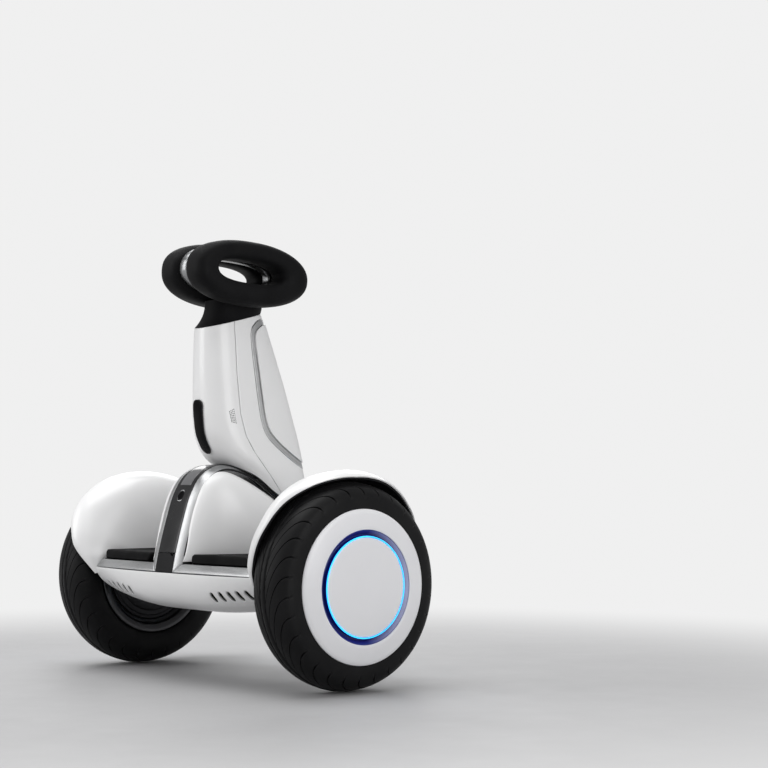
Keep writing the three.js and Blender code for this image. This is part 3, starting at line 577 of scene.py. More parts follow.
def make_wheel(name, side):
    body = f"{name}_wheel"

    def add(part, geometry, material, slot=None):
        node = slot and f"{name}_{slot}"
        piece(f"{name}_{part}_look", sided(geometry, side), material, body, node)

    add("tyre", make_tyre(), "tyre", "tyre")
    rim = rounded([[90.5, -34.4], [90.2, -30.6], [84, -29], [82, -18], [77, -9], [77, 9], [82, 18],
                   [84, 28.6],
                   [90.2, 30.4], [90.2, 33], [80, 33], [74, 25], [20, 18.6], [16.8, 18.6], [16.8, 12],
                   [66, 12], [71, 5], [71, -24], [77, -27.5], [79, -31.2], [86, -34.4]], 1.6)
    add("rim", lathe(rim), "rim", "rim")
    ribs = rounded([[16.8, -31.6], [26, -31.8], [28, -30.6], [50, -30], [57, -28.8], [58.5, -27],
                    [65, -26.6], [66, -25.4], [70.5, -25], [70.5, -22.5], [16.8, -21.5]], 0.9)
    add("motor_cover", lathe(ribs), "dark_metal", "motor_cover")
    plate = rounded([[102, 36.6], [101.6, 38.6], [97.5, 40.8], [87, 43], [78.5, 44.3], [75.0, 43.8],
                     [75.0, 35], [88, 34.6], [91, 36.6]], [0.5, 1, 3, 3, 2, 0.6, 0.5, 1, 1])
    add("hub_plate", lathe(plate, 160), "white_disc", "hub_cover")
    # The bevel's colours are painted light and shade that follow the way it faces.
    bevel = rounded([[74.9, 34.4], [74.9, 42.9], [74.2, 43.1], [69.0, 37.2], [68.9, 34.4]], 0.4)
    add("ring_bevel", lathe(bevel, 160), "groove")
    # The channel's blue is painted ring light.
    channel = rounded([[68.8, 34.4], [68.8, 36.4], [67.2, 36.4], [66.9, 42.4], [65.2, 42.4], [65.2, 34.4]],
                      0.3)
    add("ring_channel", lathe(channel, 160), "ring_lit_navy")
    glow = rounded([[66.8, 42.5], [66.5, 43.3], [66.0, 43.7], [65.4, 43.7], [65.2, 43.3], [65.2, 42.5]],
                   0.2)
    add("glow_ring", lathe(glow, 160), "glow", "light_ring")
    cap = np.vstack([[[0, 34.6]], [[64.4, 34.6]],
                     rounded([[64.9, 35.2], [64.9, 42.9], [62, 43.6], [30, 35]], 0.8)[3:12],
                     [[52, 44.4], [38, 45], [20, 45.4], [8, 45.5], [0, 45.5]]])
    add("centre_cap", disc(cap, 160), "white_disc", "centre_cap")
    valve = [[3.4, -22], [3.6, -29], [2.9, -30], [2.9, -38], [3.6, -38.6], [3.6, -43], [2.6, -44]]
    stalk = np.array([[[WHEEL_X + u * 0.9, r * math.cos(a), AXLE_Z + 76 + r * math.sin(a)]
                       for a in np.linspace(0, 2 * math.pi, 16, endpoint=False)] for r, u in valve])
    add("valve", loft(stalk), "dark_plastic")


# ---- Steering stem ----
# Each row: height, rear y, widest y, front y, half width.
STEM_ROWS = [
    [228, 50, 84, 120, 35], [250, 32, 70, 119.4, 41], [270, 8, 50, 117.6, 46.2],
    [292, -17, 24, 114.4, 48.6],
    [310, -42.2, 3, 110, 47.3], [335, -60, -10, 103.8, 44], [365, -66.6, -18, 94.5, 40.2],
    [400, -68, -21, 83, 37.3], [450, -68.6, -24, 64.5, 34.2], [490, -67.8, -26, 49, 31.6],
    [530, -66, -27, 34, 28],
]
REAR_POWER = 2.4
FRONT_POWER = 1.6
HALF_GIRTH = 170  # rough way round the stem from the middle of its back to the middle of its nose
LOOP_MIDDLE_Z = 415
FOOT_SEAM_Z = 228.6


def stem_point(way, z, inward=0.0):
    """A point on the stem. way runs -1..1 round it: 0 is the nose, 1 and -1 the middle of its back."""
    rear, widest, front, half = smooth_rows(STEM_ROWS, z)
    turn = (1 - np.abs(way)) * np.pi
    back = np.minimum(turn, np.pi / 2)
    nose = np.maximum(turn - np.pi / 2, 0)
    x_back = power(np.sin(back), 2 / REAR_POWER)
    x = np.where(turn < np.pi / 2, x_back, np.cos(nose)) * (half - inward)
    y_back = widest - (widest - rear - inward) * power(np.cos(back), 2 / REAR_POWER)
    y_nose = widest + (front - inward - widest) * power(np.sin(nose), 2 / FRONT_POWER)
    return np.stack([x * np.sign(way), np.where(turn < np.pi / 2, y_back, y_nose), z + 0 * x], -1)


def stem_way(y, z):
    """The way value of the point seen at (y, z) from the side."""
    rear, widest, front, _ = smooth_rows(STEM_ROWS, z)
    ahead = np.clip((y - widest) / (front - widest), 0, 1) ** (FRONT_POWER / 2)
    behind = np.clip((widest - y) / (widest - rear), 0, 1) ** (REAR_POWER / 2)
    turn = np.where(y > widest, np.pi / 2 + np.arcsin(ahead), np.arccos(behind))
    return 1 - turn / np.pi


def stem_top_z(y):
    return 494 + 0.25 * (y + 62)


# The band over the arch in side view, rear edge to front.
ARCH_POINTS = [[-125, 151], [-118, 184], [-106, 227], [-94, 261], [-74, 288], [-42, ARCH_TOP + 0.1],
               [2, 288],
               [36, 266], [62, 250], [82, 230], [95, 205], [101.5, 178], [ARCH_FRONT_Y, 153]]
ARCH = spline(ARCH_POINTS, 120)


def hump_height(x, y):
    """Height of the white hump's side at (x, y)."""
    top = np.interp(y, HUMP_TOP[:, 0], HUMP_TOP[:, 1], left=HUMP_Z, right=HUMP_Z)
    share = np.clip((np.abs(x) - HUMP_START_X) / (hump_foot_x(y) - HUMP_START_X), 0, 1)
    return HUMP_Z + (top - HUMP_Z) * (1 - share**HUMP_POWER) ** (1 / HUMP_POWER)


def clear_of_arch(points):
    """How far a point is outside what the arch and the hump fill as the stem tilts."""
    y = points[..., 1]
    top = np.interp(y * 125 / (125 + STEM_CLEARANCE), ARCH[:, 0], ARCH[:, 1], right=0) - PIVOT_Z
    top = np.where(y > ARCH_FRONT_Y + STEM_CLEARANCE, 0, np.maximum(top, 0))
    radius = np.hypot(points[..., 0], points[..., 2] - PIVOT_Z)
    angle = np.arctan2(np.abs(points[..., 0]), points[..., 2] - PIVOT_Z)
    edge = np.arctan2(ARCH_HALF_WIDTH + 0.9, np.maximum(top - ARCH_DROP, 1))
    free = np.where(angle - TILT_SWEEP > edge, 99, radius - top - 0.8 - STEM_CLEARANCE)
    for turn in (-TILT_SWEEP, 0, TILT_SWEEP):
        at = np.maximum(angle + turn, 0)
        lift = PIVOT_Z + radius * np.cos(at) - hump_height(radius * np.sin(at), y)
        free = np.minimum(free, lift - HUMP_CLEARANCE)
    return np.where(top > 0, free, 99)


def stem_bottom(way_at, shape, top=330.0, floor=FOOT_SEAM_Z):
    """The lowest z of each of the stem's columns: walks down its path until something is in the way."""
    z = np.full(shape, top)
    for step in (2.0, 0.25):
        stuck = np.zeros(shape, bool)
        for _ in range(60):
            free = clear_of_arch(stem_point(way_at(z - step), z - step)) > 0
            stuck = stuck | ~(free & (z - step > floor))
            z = np.where(stuck, z, z - step)
    return z


def stem_top(way, gap=0.0):
    z = np.full(np.shape(way), 500.0)
    for _ in range(12):
        z = stem_top_z(stem_point(way, z)[..., 1]) - gap
    return z


REAR_SEAM = np.array([[-27.5, 530], [-27.5, 490], [-26, 430], [-22, 370], [-15, 340], [-3, 318], [14, 296],
                      [40, 268],
                      [70, 236], [78, 228]], float)[::-1]


def seam_way(z):
    return stem_way(np.interp(z, REAR_SEAM[:, 1], REAR_SEAM[:, 0]), z)


def rear_shell_surface(s, t):
    side = 2 * t - 1
    side = np.where(np.abs(side) < 1e-6, 1e-6, side)

    def way_at(z):
        edge = seam_way(z) + SEAM_GAP / HALF_GIRTH
        return np.sign(side) * (1 - np.abs(side) * (1 - edge))

    bottom = stem_bottom(way_at, np.shape(t))
    top = stem_top(way_at(np.full(np.shape(t), 495.0)))
    z = top + (bottom - top) * s
    return stem_point(way_at(z), z)


def loop_polar(right_half):
    """Polar radius of a closed loop round the front panel, as a function of direction."""
    curve = spline(right_half, 160)
    way = stem_way(curve[:, 0], curve[:, 1])
    way[[0, -1]] = 0
    flat = np.stack([way * HALF_GIRTH, curve[:, 1] - LOOP_MIDDLE_Z], 1)
    flat = np.vstack([flat, (flat * [-1, 1])[-2:0:-1]])
    angle = np.arctan2(flat[:, 0], flat[:, 1])
    radius = np.hypot(flat[:, 0], flat[:, 1])
    order = np.argsort(angle)
    return lambda turn: np.interp(turn, angle[order], radius[order], period=2 * np.pi)


LOOP_OUTER = loop_polar([[41, 513], [21, 507], [13, 502], [6.8, 496], [3.8, 489], [3.2, 479], [4, 462],
                         [7.2, 433],
                         [10.4, 404], [14, 375], [17, 358], [22.3, 344], [32.8, 332], [52.5, 318],
                         [74, 305.5],
                         [92, 298], [106, 294.5], [114.6, 293]])
LOOP_INNER = loop_polar([[43, 503.5], [31, 501], [23, 497.5], [16.2, 493], [11.8, 487], [10.4, 477],
                         [11.4, 463],
                         [14.8, 433], [18.2, 404], [21.8, 375], [24.6, 360], [29.8, 348], [41.3, 336],
                         [58, 324],
                         [77, 313.5], [96, 305.5], [113, 302]])


def polar_point(turn, radius, lift=0.0):
    way = radius * np.sin(turn) / HALF_GIRTH
    way = np.where(np.abs(way) < 1e-5, 1e-5, way)
    return stem_point(way, LOOP_MIDDLE_Z + radius * np.cos(turn), -lift)


def shell_reach(turn):
    """Distance from the loop's middle to the main shell's outer edge in this direction."""
    low, high = np.full(np.shape(turn), 20.0), np.full(np.shape(turn), 260.0)
    for _ in range(24):
        middle = (low + high) / 2
        point = polar_point(turn, middle)
        way = np.abs(middle * np.sin(turn)) / HALF_GIRTH
        z = point[..., 2]
        inside = ((way < seam_way(z) - SEAM_GAP / HALF_GIRTH) & (z < stem_top_z(point[..., 1]))
                  & (z > FOOT_SEAM_Z) & (clear_of_arch(point) > 0))
        low = np.where(inside, middle, low)
        high = np.where(inside, high, middle)
    return low


def ring_surface(inner, outer, lift=0.0):
    """A band round the front panel: s runs outwards, t round the loop."""
    def surface(s, t):
        turn = 2 * np.pi * t
        a, b = inner(turn), outer(turn)
        return polar_point(turn, a + (b - a) * s, lift)
    return surface


def disc_surface(outer):
    """The inside of a loop, from a square grid so that no point is a pole."""
    def surface(s, t):
        p, q = 2 * s - 1, 2 * t - 1
        x, y = p * np.sqrt(1 - q * q / 2), q * np.sqrt(1 - p * p / 2)
        turn = np.arctan2(x, y)
        return polar_point(turn, outer(turn) * np.hypot(x, y))
    return surface


FOOT_TOP_HALF = 34.6
FOOT_BALL = 26.0
FOOT_REAR_Y = ARCH_FRONT_Y + STEM_CLEARANCE


def foot_surface(s, t):
    """The lower cover: s runs from the middle line out to its rim, t round its U shape."""
    ball_z = PIVOT_Z + 4
    straight = FOOT_SEAM_Z - 0.7 - ball_z
    arc = np.pi * FOOT_BALL
    run = t * (2 * straight + arc)
    on_arc = np.clip(run - straight, 0, arc) / FOOT_BALL
    up = np.where(run < straight, straight - run, np.where(run > straight + arc, run - straight - arc, 0))
    widen = FOOT_BALL + (FOOT_TOP_HALF - FOOT_BALL) * ease(up / straight) ** 1.1
    half_x = np.cos(on_arc) * widen
    drop = np.sin(on_arc) * FOOT_BALL
    front = 120.4 - 1.2 * ease((20 - up) / 20)
    bulge = (1 - np.abs(s) ** 2.2) ** (1 / 1.7)
    rear_y = FOOT_REAR_Y + 1.2 - 16 * ease((up - 34) / 52)
    return np.stack([half_x * s, rear_y + (front - rear_y) * bulge, ball_z + up - drop * s], -1)


def make_stem():
    piece("stem_rear_look", panel(rear_shell_surface, 90, 90, (230, 200)), "white", "stem",
          "stem_rear_shell")
    outer = lambda turn: LOOP_OUTER(turn) + SEAM_GAP
    main = ring_surface(outer, shell_reach)
    piece("stem_main_look", panel(main, 40, 220, (60, 500), wrap=True), "white", "stem",
          "stem_main_shell")
    trim = ring_surface(LOOP_INNER, LOOP_OUTER, 0.5)
    # The loop uses the lighter, painted-light copy of the trim silver.
    piece("stem_trim_look", panel(trim, 8, 220, (8, 480), 2.4, 0.8, wrap=True), "trim_silver_lit_copy", "stem",
          "stem_trim")
    inner = lambda turn: LOOP_INNER(turn) - SEAM_GAP
    piece("stem_front_look", panel(disc_surface(inner), 70, 70, (190, 150)), "white", "stem",
          "stem_front_panel")
    piece("stem_foot_look", panel(foot_surface, 26, 90, (45, 250), flip=True), "white", "stem",
          "stem_foot_cover")
    make_top_plate()
    make_display()
    make_grilles()


def make_top_plate():
    """Closes the stem's mouth round the telescopic tube, seen when the knee bar is raised."""
    low, high = cad_box("top_collar")
    collar = (low + high) / 2
    reach = (high[0] - low[0]) / 2 - 0.4
    way = (np.arange(96) + 0.5) / 48 - 1
    outer = stem_point(way, stem_top(way, 5.0), 2.0)
    turn = np.pi * (way + 1)
    inner = np.stack([-reach * np.sin(turn), collar[1] - reach * np.cos(turn), 0 * way], 1)
    inner[:, 2] = stem_top_z(inner[:, 1]) - 6.0
    rings = []
    for share, drop in ((0, 0), (0.05, 0.2), (0.5, 0.6), (0.95, 0.2), (1, 0), (1, -2.2), (0.5, -1.6),
                        (0, -2.2)):
        ring = outer + (inner - outer) * share
        rings.append(ring + [0, 0, drop])
    rings.append(rings[0])
    piece("stem_top_plate", loft(rings, caps=False), "dark_plastic", "stem")


WINDOW = {"low": 317, "high": 390, "half": 10.0, "corner": 8.6}


def window_surface(grow, lift):
    """The rounded display window on the stem's back."""
    def surface(s, t):
        p, q = 2 * s - 1, 2 * t - 1
        middle = (WINDOW["low"] + WINDOW["high"]) / 2
        tall = (WINDOW["high"] - WINDOW["low"]) / 2 + grow
        wide = WINDOW["half"] + grow
        x, z = p * wide, q * tall
        narrow = 1 - 0.13 * (1 - q) / 2
        inner_x, inner_z = wide - WINDOW["corner"], tall - WINDOW["corner"]
        over_x, over_z = np.maximum(np.abs(x) - inner_x, 0), np.maximum(np.abs(z) - inner_z, 0)
        square = np.maximum(over_x, over_z)
        reach = np.hypot(over_x, over_z)
        pull = np.where(reach > 1e-9, square / np.maximum(reach, 1e-9), 1)
        x = np.sign(x) * (np.minimum(np.abs(x), inner_x) + over_x * pull)
        z = middle + np.sign(z) * (np.minimum(np.abs(z), inner_z) + over_z * pull)
        return back_point(x * narrow, z, lift)
    return surface


def back_point(x, z, lift):
    """The point of the stem's back at this x and z."""
    rear, widest, _, half = smooth_rows(STEM_ROWS, z)
    share = np.clip(np.abs(x) / half, 0, 0.999) ** REAR_POWER
    y = widest - (widest - rear) * (1 - share) ** (1 / REAR_POWER)
    return np.stack([x, y - lift, z], -1)


def make_display():
    frame_look = panel(window_surface(1.1, 0.5), 26, 40, (40, 74), 1.6, 0.5, flip=True)
    piece("display_frame", frame_look, "dark_plastic", "stem")
    glass = panel(window_surface(0, 1.0), 26, 40, (38, 72), 1.6, 0.7, flip=True)
    piece("display_glass", glass, "glossy", "stem", "display_window")
    bars = [(0.0, 372 - 3.4 * k, 4.2 - 0.6 * k, 0.8) for k in range(4)]
    marks = bars + [(-5, 344, 2.6, 1.8), (5, 344, 2.6, 1.8), (0, 332, 1.4, 1.4)]
    for number, (x, z, half, tall) in enumerate(marks):
        def surface(s, t, x=x, z=z, half=half, tall=tall):
            return back_point(x + (2 * s - 1) * half, z + (2 * t - 1) * tall, 1.16)
        piece(f"display_mark_{number}", panel(surface, 6, 6, (2 * half, 2 * tall), 0.3, 0.12, flip=True),
              "mark", "stem")


def make_grilles():
    """Slanted groups of small round sound holes on both flanks of the stem."""
    angles = np.linspace(0, 2 * np.pi, 12, endpoint=False)[:, None]
    dots = []
    for row in np.linspace(0, 1, 8):
        for column in np.linspace(0, 1, 4):
            z = np.array(374 + 3.3 * column - row * (14.3 + 4.9 * column))
            way = stem_way(np.array(-40 + 6.5 * column + 3 * row), z)
            centre = stem_point(way, z)
            near, above = stem_point(way + 0.004, z), stem_point(way, z + 1.0)
            across = (near - centre) / np.linalg.norm(near - centre)
            up = (above - centre) / np.linalg.norm(above - centre)
            out = np.cross(across, up)
            out *= np.sign(out[0])
            spoke = np.cos(angles) * across + np.sin(angles) * up
            profile = ((0.74, -0.5), (0.74, 0.02), (0.62, 0.1), (0.25, 0.04))
            dots.append(loft([centre + radius * spoke + depth * out for radius, depth in profile]))
    pair("sound_holes", joined(*dots), "dark_plastic", "stem")


# ---- Body shells ----
def flow(points, s):
    """A smooth curve guided by control points (each a tuple of arrays or numbers), read at s in 0..1."""
    p = [np.stack(np.broadcast_arrays(*point, s)[:-1], -1) for point in points]
    p = np.stack([2 * p[0] - p[1]] + p + [2 * p[-1] - p[-2]])
    u = np.clip(s, 0, 1) * (len(points) - 1)
    i = np.minimum(u.astype(int), len(points) - 2)
    t = (u - i)[..., None]
    pick = lambda k: np.take_along_axis(p, (i + k)[None, ..., None], 0)[0]
    return ((1 - t)**3 * pick(0) + (3 * t**3 - 6 * t**2 + 4) * pick(1)
            + (1 + 3 * t + 3 * t**2 - 3 * t**3) * pick(2) + t**3 * pick(3)) / 6


def rear_edge(x):
    return -116 - 9 * (1 - np.minimum(np.abs(x) / BODY_HALF_WIDTH, 1) ** 2)


def front_edge(x):
    return 112 + 9 * (1 - np.minimum(np.abs(x) / BODY_HALF_WIDTH, 1) ** 2)


def front_seam_z(x):
    return 123 + 18 * (np.abs(x) / BODY_HALF_WIDTH) ** 2


def belly_surface(s, t):
    """s runs from the rear seam under the body to the front seam, t from side to side."""
    x = (2 * t - 1) * (BODY_HALF_WIDTH + 4.5)
    end = (np.maximum(np.abs(x) - 50, 0) / (BODY_HALF_WIDTH - 50)) ** 1.6
    rear, front, floor = rear_edge(x), front_edge(x), BELLY_Z + 12 * end
    yz = flow([(rear, REAR_SEAM_Z - 1.0), (rear + 0.6 + 3 * end, 138 + 3 * end),
               (rear + 6 + 9 * end, 119.5 + 8 * end),
               (rear + 24 + 10 * end, 103 + 14 * end), (-66, floor + 2 * end), (-40, floor), (40, floor),
               (70, floor),
               (front - 24, 99.5 + 12 * end), (front - 6, 108 + 8 * end), (front, front_seam_z(x) - 1.4)],
              s)
    return np.concatenate([x[..., None], yz], -1)


DECK_TOP = 170.0


def deck_surface(s, t):
    """The white skin under the mats: s runs from the rear trim over the top and down the front face."""
    x = (2 * t - 1) * BODY_HALF_WIDTH
    rear, front = rear_edge(x), front_edge(x)
    yz = flow([(rear + 2.4, REAR_SEAM_Z + 0.6), (rear + 6.4, 161), (rear + 11, DECK_TOP - 0.6),
               (rear + 24, DECK_TOP),
               (0, DECK_TOP), (40, DECK_TOP), (75, 161.5), (front - 9, 149.2), (front - 1.6, 147.2),
               (front - 0.2, 143.8), (front, front_seam_z(x) + 5), (front, front_seam_z(x) - 0.7)], s)
    return np.concatenate([x[..., None], yz], -1)


# The white hump: where its top meets the bands (y, z), and its foot on the deck (y, x).
HUMP_TOP = spline([[-112, 171], [-105, 214], [-94.5, 249], [-82, 273], [-67, 286], [-54, 290], [-36, 287],
                   [-7, 274.4],
                   [27, 255.5], [47, 243], [65, 230], [78, 215], [87, 198], [92, 184], [94, 171]], 90)
HUMP_FOOT = np.array([[-117, 36.4], [-95, 53], [-60, 70], [-20, 79.5], [20, 79], [60, 67], [90, 53],
                      [104, 45],
                      [110, 40]])
HUMP_Z = 166.0


def hump_foot_x(y):
    return smooth_rows(HUMP_FOOT, y)[0]


def hump_surface(s, t):
    """s runs from the band down to the deck, t from rear to front."""
    at = np.linspace(0, 1, len(HUMP_TOP))
    y_top, z_top = np.interp(t, at, HUMP_TOP[:, 0]), np.interp(t, at, HUMP_TOP[:, 1])
    y_foot = -117 + (y_top + 112) / 206 * 227
    x_foot = hump_foot_x(y_foot)
    turn = s * np.pi / 2
    out = power(np.sin(turn), 2 / HUMP_POWER)
    x = HUMP_START_X + (x_foot - HUMP_START_X) * out
    z = HUMP_Z + (z_top - HUMP_Z) * power(np.cos(turn), 2 / HUMP_POWER)
    return np.stack([x, y_top + (y_foot - y_top) * out**2, z], -1)


def box_cutter(centre, size, turn_y=0.0):
    """A block that only cuts openings."""
    corners = np.array([[i, j, k] for i in (-1, 1) for j in (-1, 1) for k in (-1, 1)]) * np.array(size) / 2
    c, s = math.cos(turn_y), math.sin(turn_y)
    x, z = corners[:, 0] * c + corners[:, 2] * s, -corners[:, 0] * s + corners[:, 2] * c
    points = np.stack([x, corners[:, 1], z], 1) + centre
    return points, [[0, 1, 3, 2], [4, 6, 7, 5], [0, 4, 5, 1], [2, 3, 7, 6], [0, 2, 6, 4], [1, 5, 7, 3]]


def slot_cutter(centre, length, width, depth, turn_y):
    """A round-ended slot running along z before it is turned about y."""
    angle = np.linspace(0, 2 * np.pi, 24, endpoint=False)
    x = width / 2 * np.cos(angle)
    z = width / 2 * np.sin(angle) + np.sign(np.sin(angle)) * (length - width) / 2
    c, s = math.cos(turn_y), math.sin(turn_y)
    ring = np.stack([x * c + z * s, 0 * x, -x * s + z * c], 1)
    return loft([ring + centre + [0, -depth, 0], ring + centre + [0, depth, 0]])


def bar_cutter(radius, y0, y1, z):
    angle = np.linspace(0, 2 * np.pi, 64, endpoint=False)
    ring = np.stack([radius * np.cos(angle), 0 * angle, z + radius * np.sin(angle)], 1)
    return loft([ring + [0, y0, 0], ring + [0, y1, 0]])


def cut(obj, *cutters):
    """Takes closed shapes away from an object."""
    mesh = bpy.data.meshes.new("cutter")
    points, faces = joined(*cutters)
    mesh.from_pydata((points * MM).tolist(), [], faces)
    sharp_edges(mesh, 0.5)
    tool = bpy.data.objects.new("cutter", mesh)
    bpy.context.scene.collection.objects.link(tool)
    change = obj.modifiers.new("cut", "BOOLEAN")
    change.operation = "DIFFERENCE"
    change.solver = "EXACT"
    change.object = tool
    bpy.context.view_layer.update()
    result = bpy.data.meshes.new_from_object(obj.evaluated_get(bpy.context.evaluated_depsgraph_get()))
    obj.modifiers.clear()
    old = obj.data
    obj.data = result
    bpy.data.meshes.remove(old)
    bpy.data.objects.remove(tool)
    bpy.data.meshes.remove(mesh)


NOTCH = 31.0


def make_body():
    belly = piece("belly_shell_look", panel(belly_surface, 70, 120, (330, 376)), "white", "chassis",
                  "lower_shell")
    slots = [slot_cutter(np.array([side * (102 + 17 * i), end * 110, 121 + 1.4 * i]), 13.5, 8.4, 20,
                         -side * 0.15)
             for side in (-1, 1) for end in (-1, 1) for i in range(5)]
    notch = [bar_cutter(NOTCH, ARCH_FRONT_Y + 0.6, 140, PIVOT_Z)]
    cut(belly, *slots, *notch)
    deck = piece("deck_shell_look", panel(deck_surface, 70, 120, (270, 376)), "white", "chassis",
                 "deck_shell")
    cut(deck, *notch, box_cutter(np.array([0, 122, 158]), (2 * NOTCH, 36, 36)))
    inside = lambda s, t: belly_surface(0.06 + 0.88 * s, 0.03 + 0.94 * t) * [1, 0.94, 0.9] + [0, 0, 14]
    lining = piece("belly_lining", panel(inside, 40, 60, (300, 360), 1.2, 0.4), "dark_plastic", "chassis")
    cut(lining, *notch)
    pair("hump_side", panel(hump_surface, 40, 80, (150, 330)), "white", "chassis")


# ---- Foot mats ----
MAT_TOP = 176.5


def mat_height(x, y):
    """Top of the mat: flat, then a long ramp down to the front."""
    ramp = np.clip((y - 36) / (front_edge(x) - 40), 0, 1)
    lip = 1 - np.clip((y - rear_edge(x) - 9) / 7.5, 0, 1)
    return MAT_TOP - 27.5 * ramp**1.25 - 12.6 * lip**3


def mat_surface(s, t):
    """s runs from the rear edge to the front edge, t from the hump out to the fender."""
    x_mid = 130.0
    y0, y1 = rear_edge(x_mid) + 9, front_edge(x_mid) - 3.4
    y = y0 + (y1 - y0) * s
    inner, outer = hump_foot_x(y) + 1.2, 183.0

    # Every corner is rounded.
    def corner(end, reach):
        run = np.clip(1 - np.abs(y - end) / reach, 0, 1)
        return reach * (1 - np.sqrt(1 - run**2))
    outer = outer - corner(y0, 9) - corner(y1, 16)
    inner = inner + corner(y1, 12) + 0.9 * corner(y0, 16)
    x = inner + (outer - inner) * t
    y = y + (rear_edge(x) - rear_edge(x_mid)) * (1 - s) + (front_edge(x) - front_edge(x_mid)) * s
    return np.stack([x, y, mat_height(x, y)], -1)


def make_mats():
    pair("mat_look", panel(mat_surface, 70, 40, (215, 100), 6.5, 3.2, flip=True), "mat", "chassis", "footpad")
    angle = np.linspace(0, 2 * np.pi, 10, endpoint=False)
    ribs = []
    for k in range(14):
        x = 84 + 7.0 * k
        start, end = np.array([x, 84.0]), np.array([x - 9, 103.0])
        ring = []
        for q in np.linspace(0, 1, 9):
            here = start + (end - start) * q
            tall = 1.1 * math.sin(math.pi * q) ** 0.5 if 0 < q < 1 else 0.02
            wide = 1.5 * max(0.15, math.sin(math.pi * q) ** 0.4 if 0 < q < 1 else 0.15)
            z = mat_height(here[0], here[1]) + tall * np.sin(angle)
            ring.append(np.stack([here[0] + wide * np.cos(angle), here[1] + 0 * angle, z], 1))
        ribs.append(loft(ring))
    pair("mat_ribs", joined(*ribs), "mat", "chassis")


# ---- Fenders ----
FENDER_SPREAD = math.radians(88)
FENDER_ROUND = 0.72
# Each row: degrees from straight up, then distance out and radius of the crown, and of the lip.
FENDER_ROWS = [[0, 248, 150.5, 267, 142.3], [15, 247.5, 151, 265, 144.5], [30, 245, 153.5, 256, 147.8],
               [45, 240, 154.5, 245, 150.8], [57, 236, 151, 239, 149.8], [65, 227, 146, 229, 145.2],
               [72, 219, 139.3, 220.5, 138.8], [76, 212, 132.8, 213, 132.4], [80, 204, 126, 205, 125.6],
               [84, 198, 119, 198.6, 118.6], [88, 193, 113, 193.4, 112.6]]


def fender_surface(inset=0.0, first=0.0, last=1.0):
    def surface(s, t):
        """s runs from the deck over the tyre to the lip, t from the rear round to the front."""
        across = first + (last - first) * s
        turn = FENDER_SPREAD * (2 * t - 1)
        far = np.abs(turn)
        crown_x, crown_r, lip_x, lip_r = smooth_rows(FENDER_ROWS, np.degrees(far))
        base_x = 184 + 4.5 * ease((far - 1.0) / 0.35)
        roundness = FENDER_ROUND + (1 - FENDER_ROUND) * ease((far - 0.3) / 0.6)
        cos, sin = np.maximum(np.cos(far), 0.05), np.maximum(np.sin(far), 0.05)
        base_r = ((27 / cos) ** -14 + (105 / sin) ** -14) ** (-1 / 14)
        bend = np.minimum(across / 0.7, 1) * np.pi / 2
        out = np.clip((across - 0.7) / 0.3, 0, 1)
        x = crown_x - (crown_x - base_x) * power(np.cos(bend), roundness) + inset * np.cos(bend)
        r = base_r + (crown_r - base_r) * power(np.sin(bend), roundness) - inset * np.sin(bend)
        x = x + (lip_x - crown_x) * out
        r = r - (crown_r - lip_r) * out**2
        return np.stack([x, np.sin(turn) * r, AXLE_Z + np.cos(turn) * r], -1)
    return surface


def make_fenders():
    shell = panel(fender_surface(), 60, 120, (190, 420), 2.4, 1.1, flip=True)
    pair("fender_look", shell, "white", "chassis", "fender")
    lining = panel(fender_surface(2.7, 0.02, 0.985), 40, 100, (180, 410), 1.2, 0.5, flip=True)
    pair("fender_lining", lining, "lining", "chassis")


# ---- Bands over the arch ----
ARCH_LENGTH = float(np.sum(np.linalg.norm(np.diff(ARCH, axis=0), axis=1)))
ARCH_AT = np.linspace(0, 1, len(ARCH))


def arch_share(z):
    """Share of the way along the arch at which its rear leg reaches this height."""
    top = int(np.argmax(ARCH[:, 1]))
    return np.interp(z, ARCH[:top, 1], ARCH_AT[:top])


def arch_point(share, x, drop):
    """A point on the arch at this share of its length, x aside and `drop` below the outer face."""
    inward = offset(ARCH, 1.0) - ARCH
    y = np.interp(share, ARCH_AT, ARCH[:, 0]) + drop * np.interp(share, ARCH_AT, inward[:, 0])
    z = np.interp(share, ARCH_AT, ARCH[:, 1]) + drop * np.interp(share, ARCH_AT, inward[:, 1])
    return np.stack([x + 0 * y, y, z], -1)


PORT_TOP = 177.6
SMOKE_FROM = 271.0
GAP_SHADE_FROM = 0.06
INSET_HALF_WIDTH = 12.8


def strip_surface(start, end, half=STRIP_HALF_WIDTH, level=0.0):
    def surface(s, t):
        x = (2 * t - 1) * half
        share = start + (end - start) * s
        return arch_point(share, x, level + 0.7 * (x / STRIP_HALF_WIDTH) ** 2)
    return surface


def arch_trim_surface(s, t):
    start = arch_share(151.2 + 11.8 * t)
    x = STRIP_HALF_WIDTH + 0.4 + (ARCH_HALF_WIDTH - STRIP_HALF_WIDTH - 0.4) * t
    return arch_point(start + (1 - start) * s, x, 0.7 + 5.0 * t**1.6)


# A dark strip in the gap between the arch trim and the hump: painted shade of that gap.
def arch_gap_shade_surface(s, t):
    return arch_point(GAP_SHADE_FROM + (1 - GAP_SHADE_FROM) * s, ARCH_HALF_WIDTH - 0.2 + 1.2 * t, 5.2 + 1.6 * t)


def rear_trim_surface(s, t):
    first = STRIP_HALF_WIDTH + 1.2 + 14.6 * s
    x = first + (187.6 - 4.5 * s - first) * t
    return np.stack([x, rear_edge(x) + 0.2 + 8.4 * s**1.25, REAR_SEAM_Z + 0.4 + 11.9 * s**0.9], -1)


def light_surface(s, t):
    x = 38 + 140 * t
    return np.stack([x, front_edge(x) - 0.4 - 3.0 * s**2, 143.2 + 5.8 * s], -1)


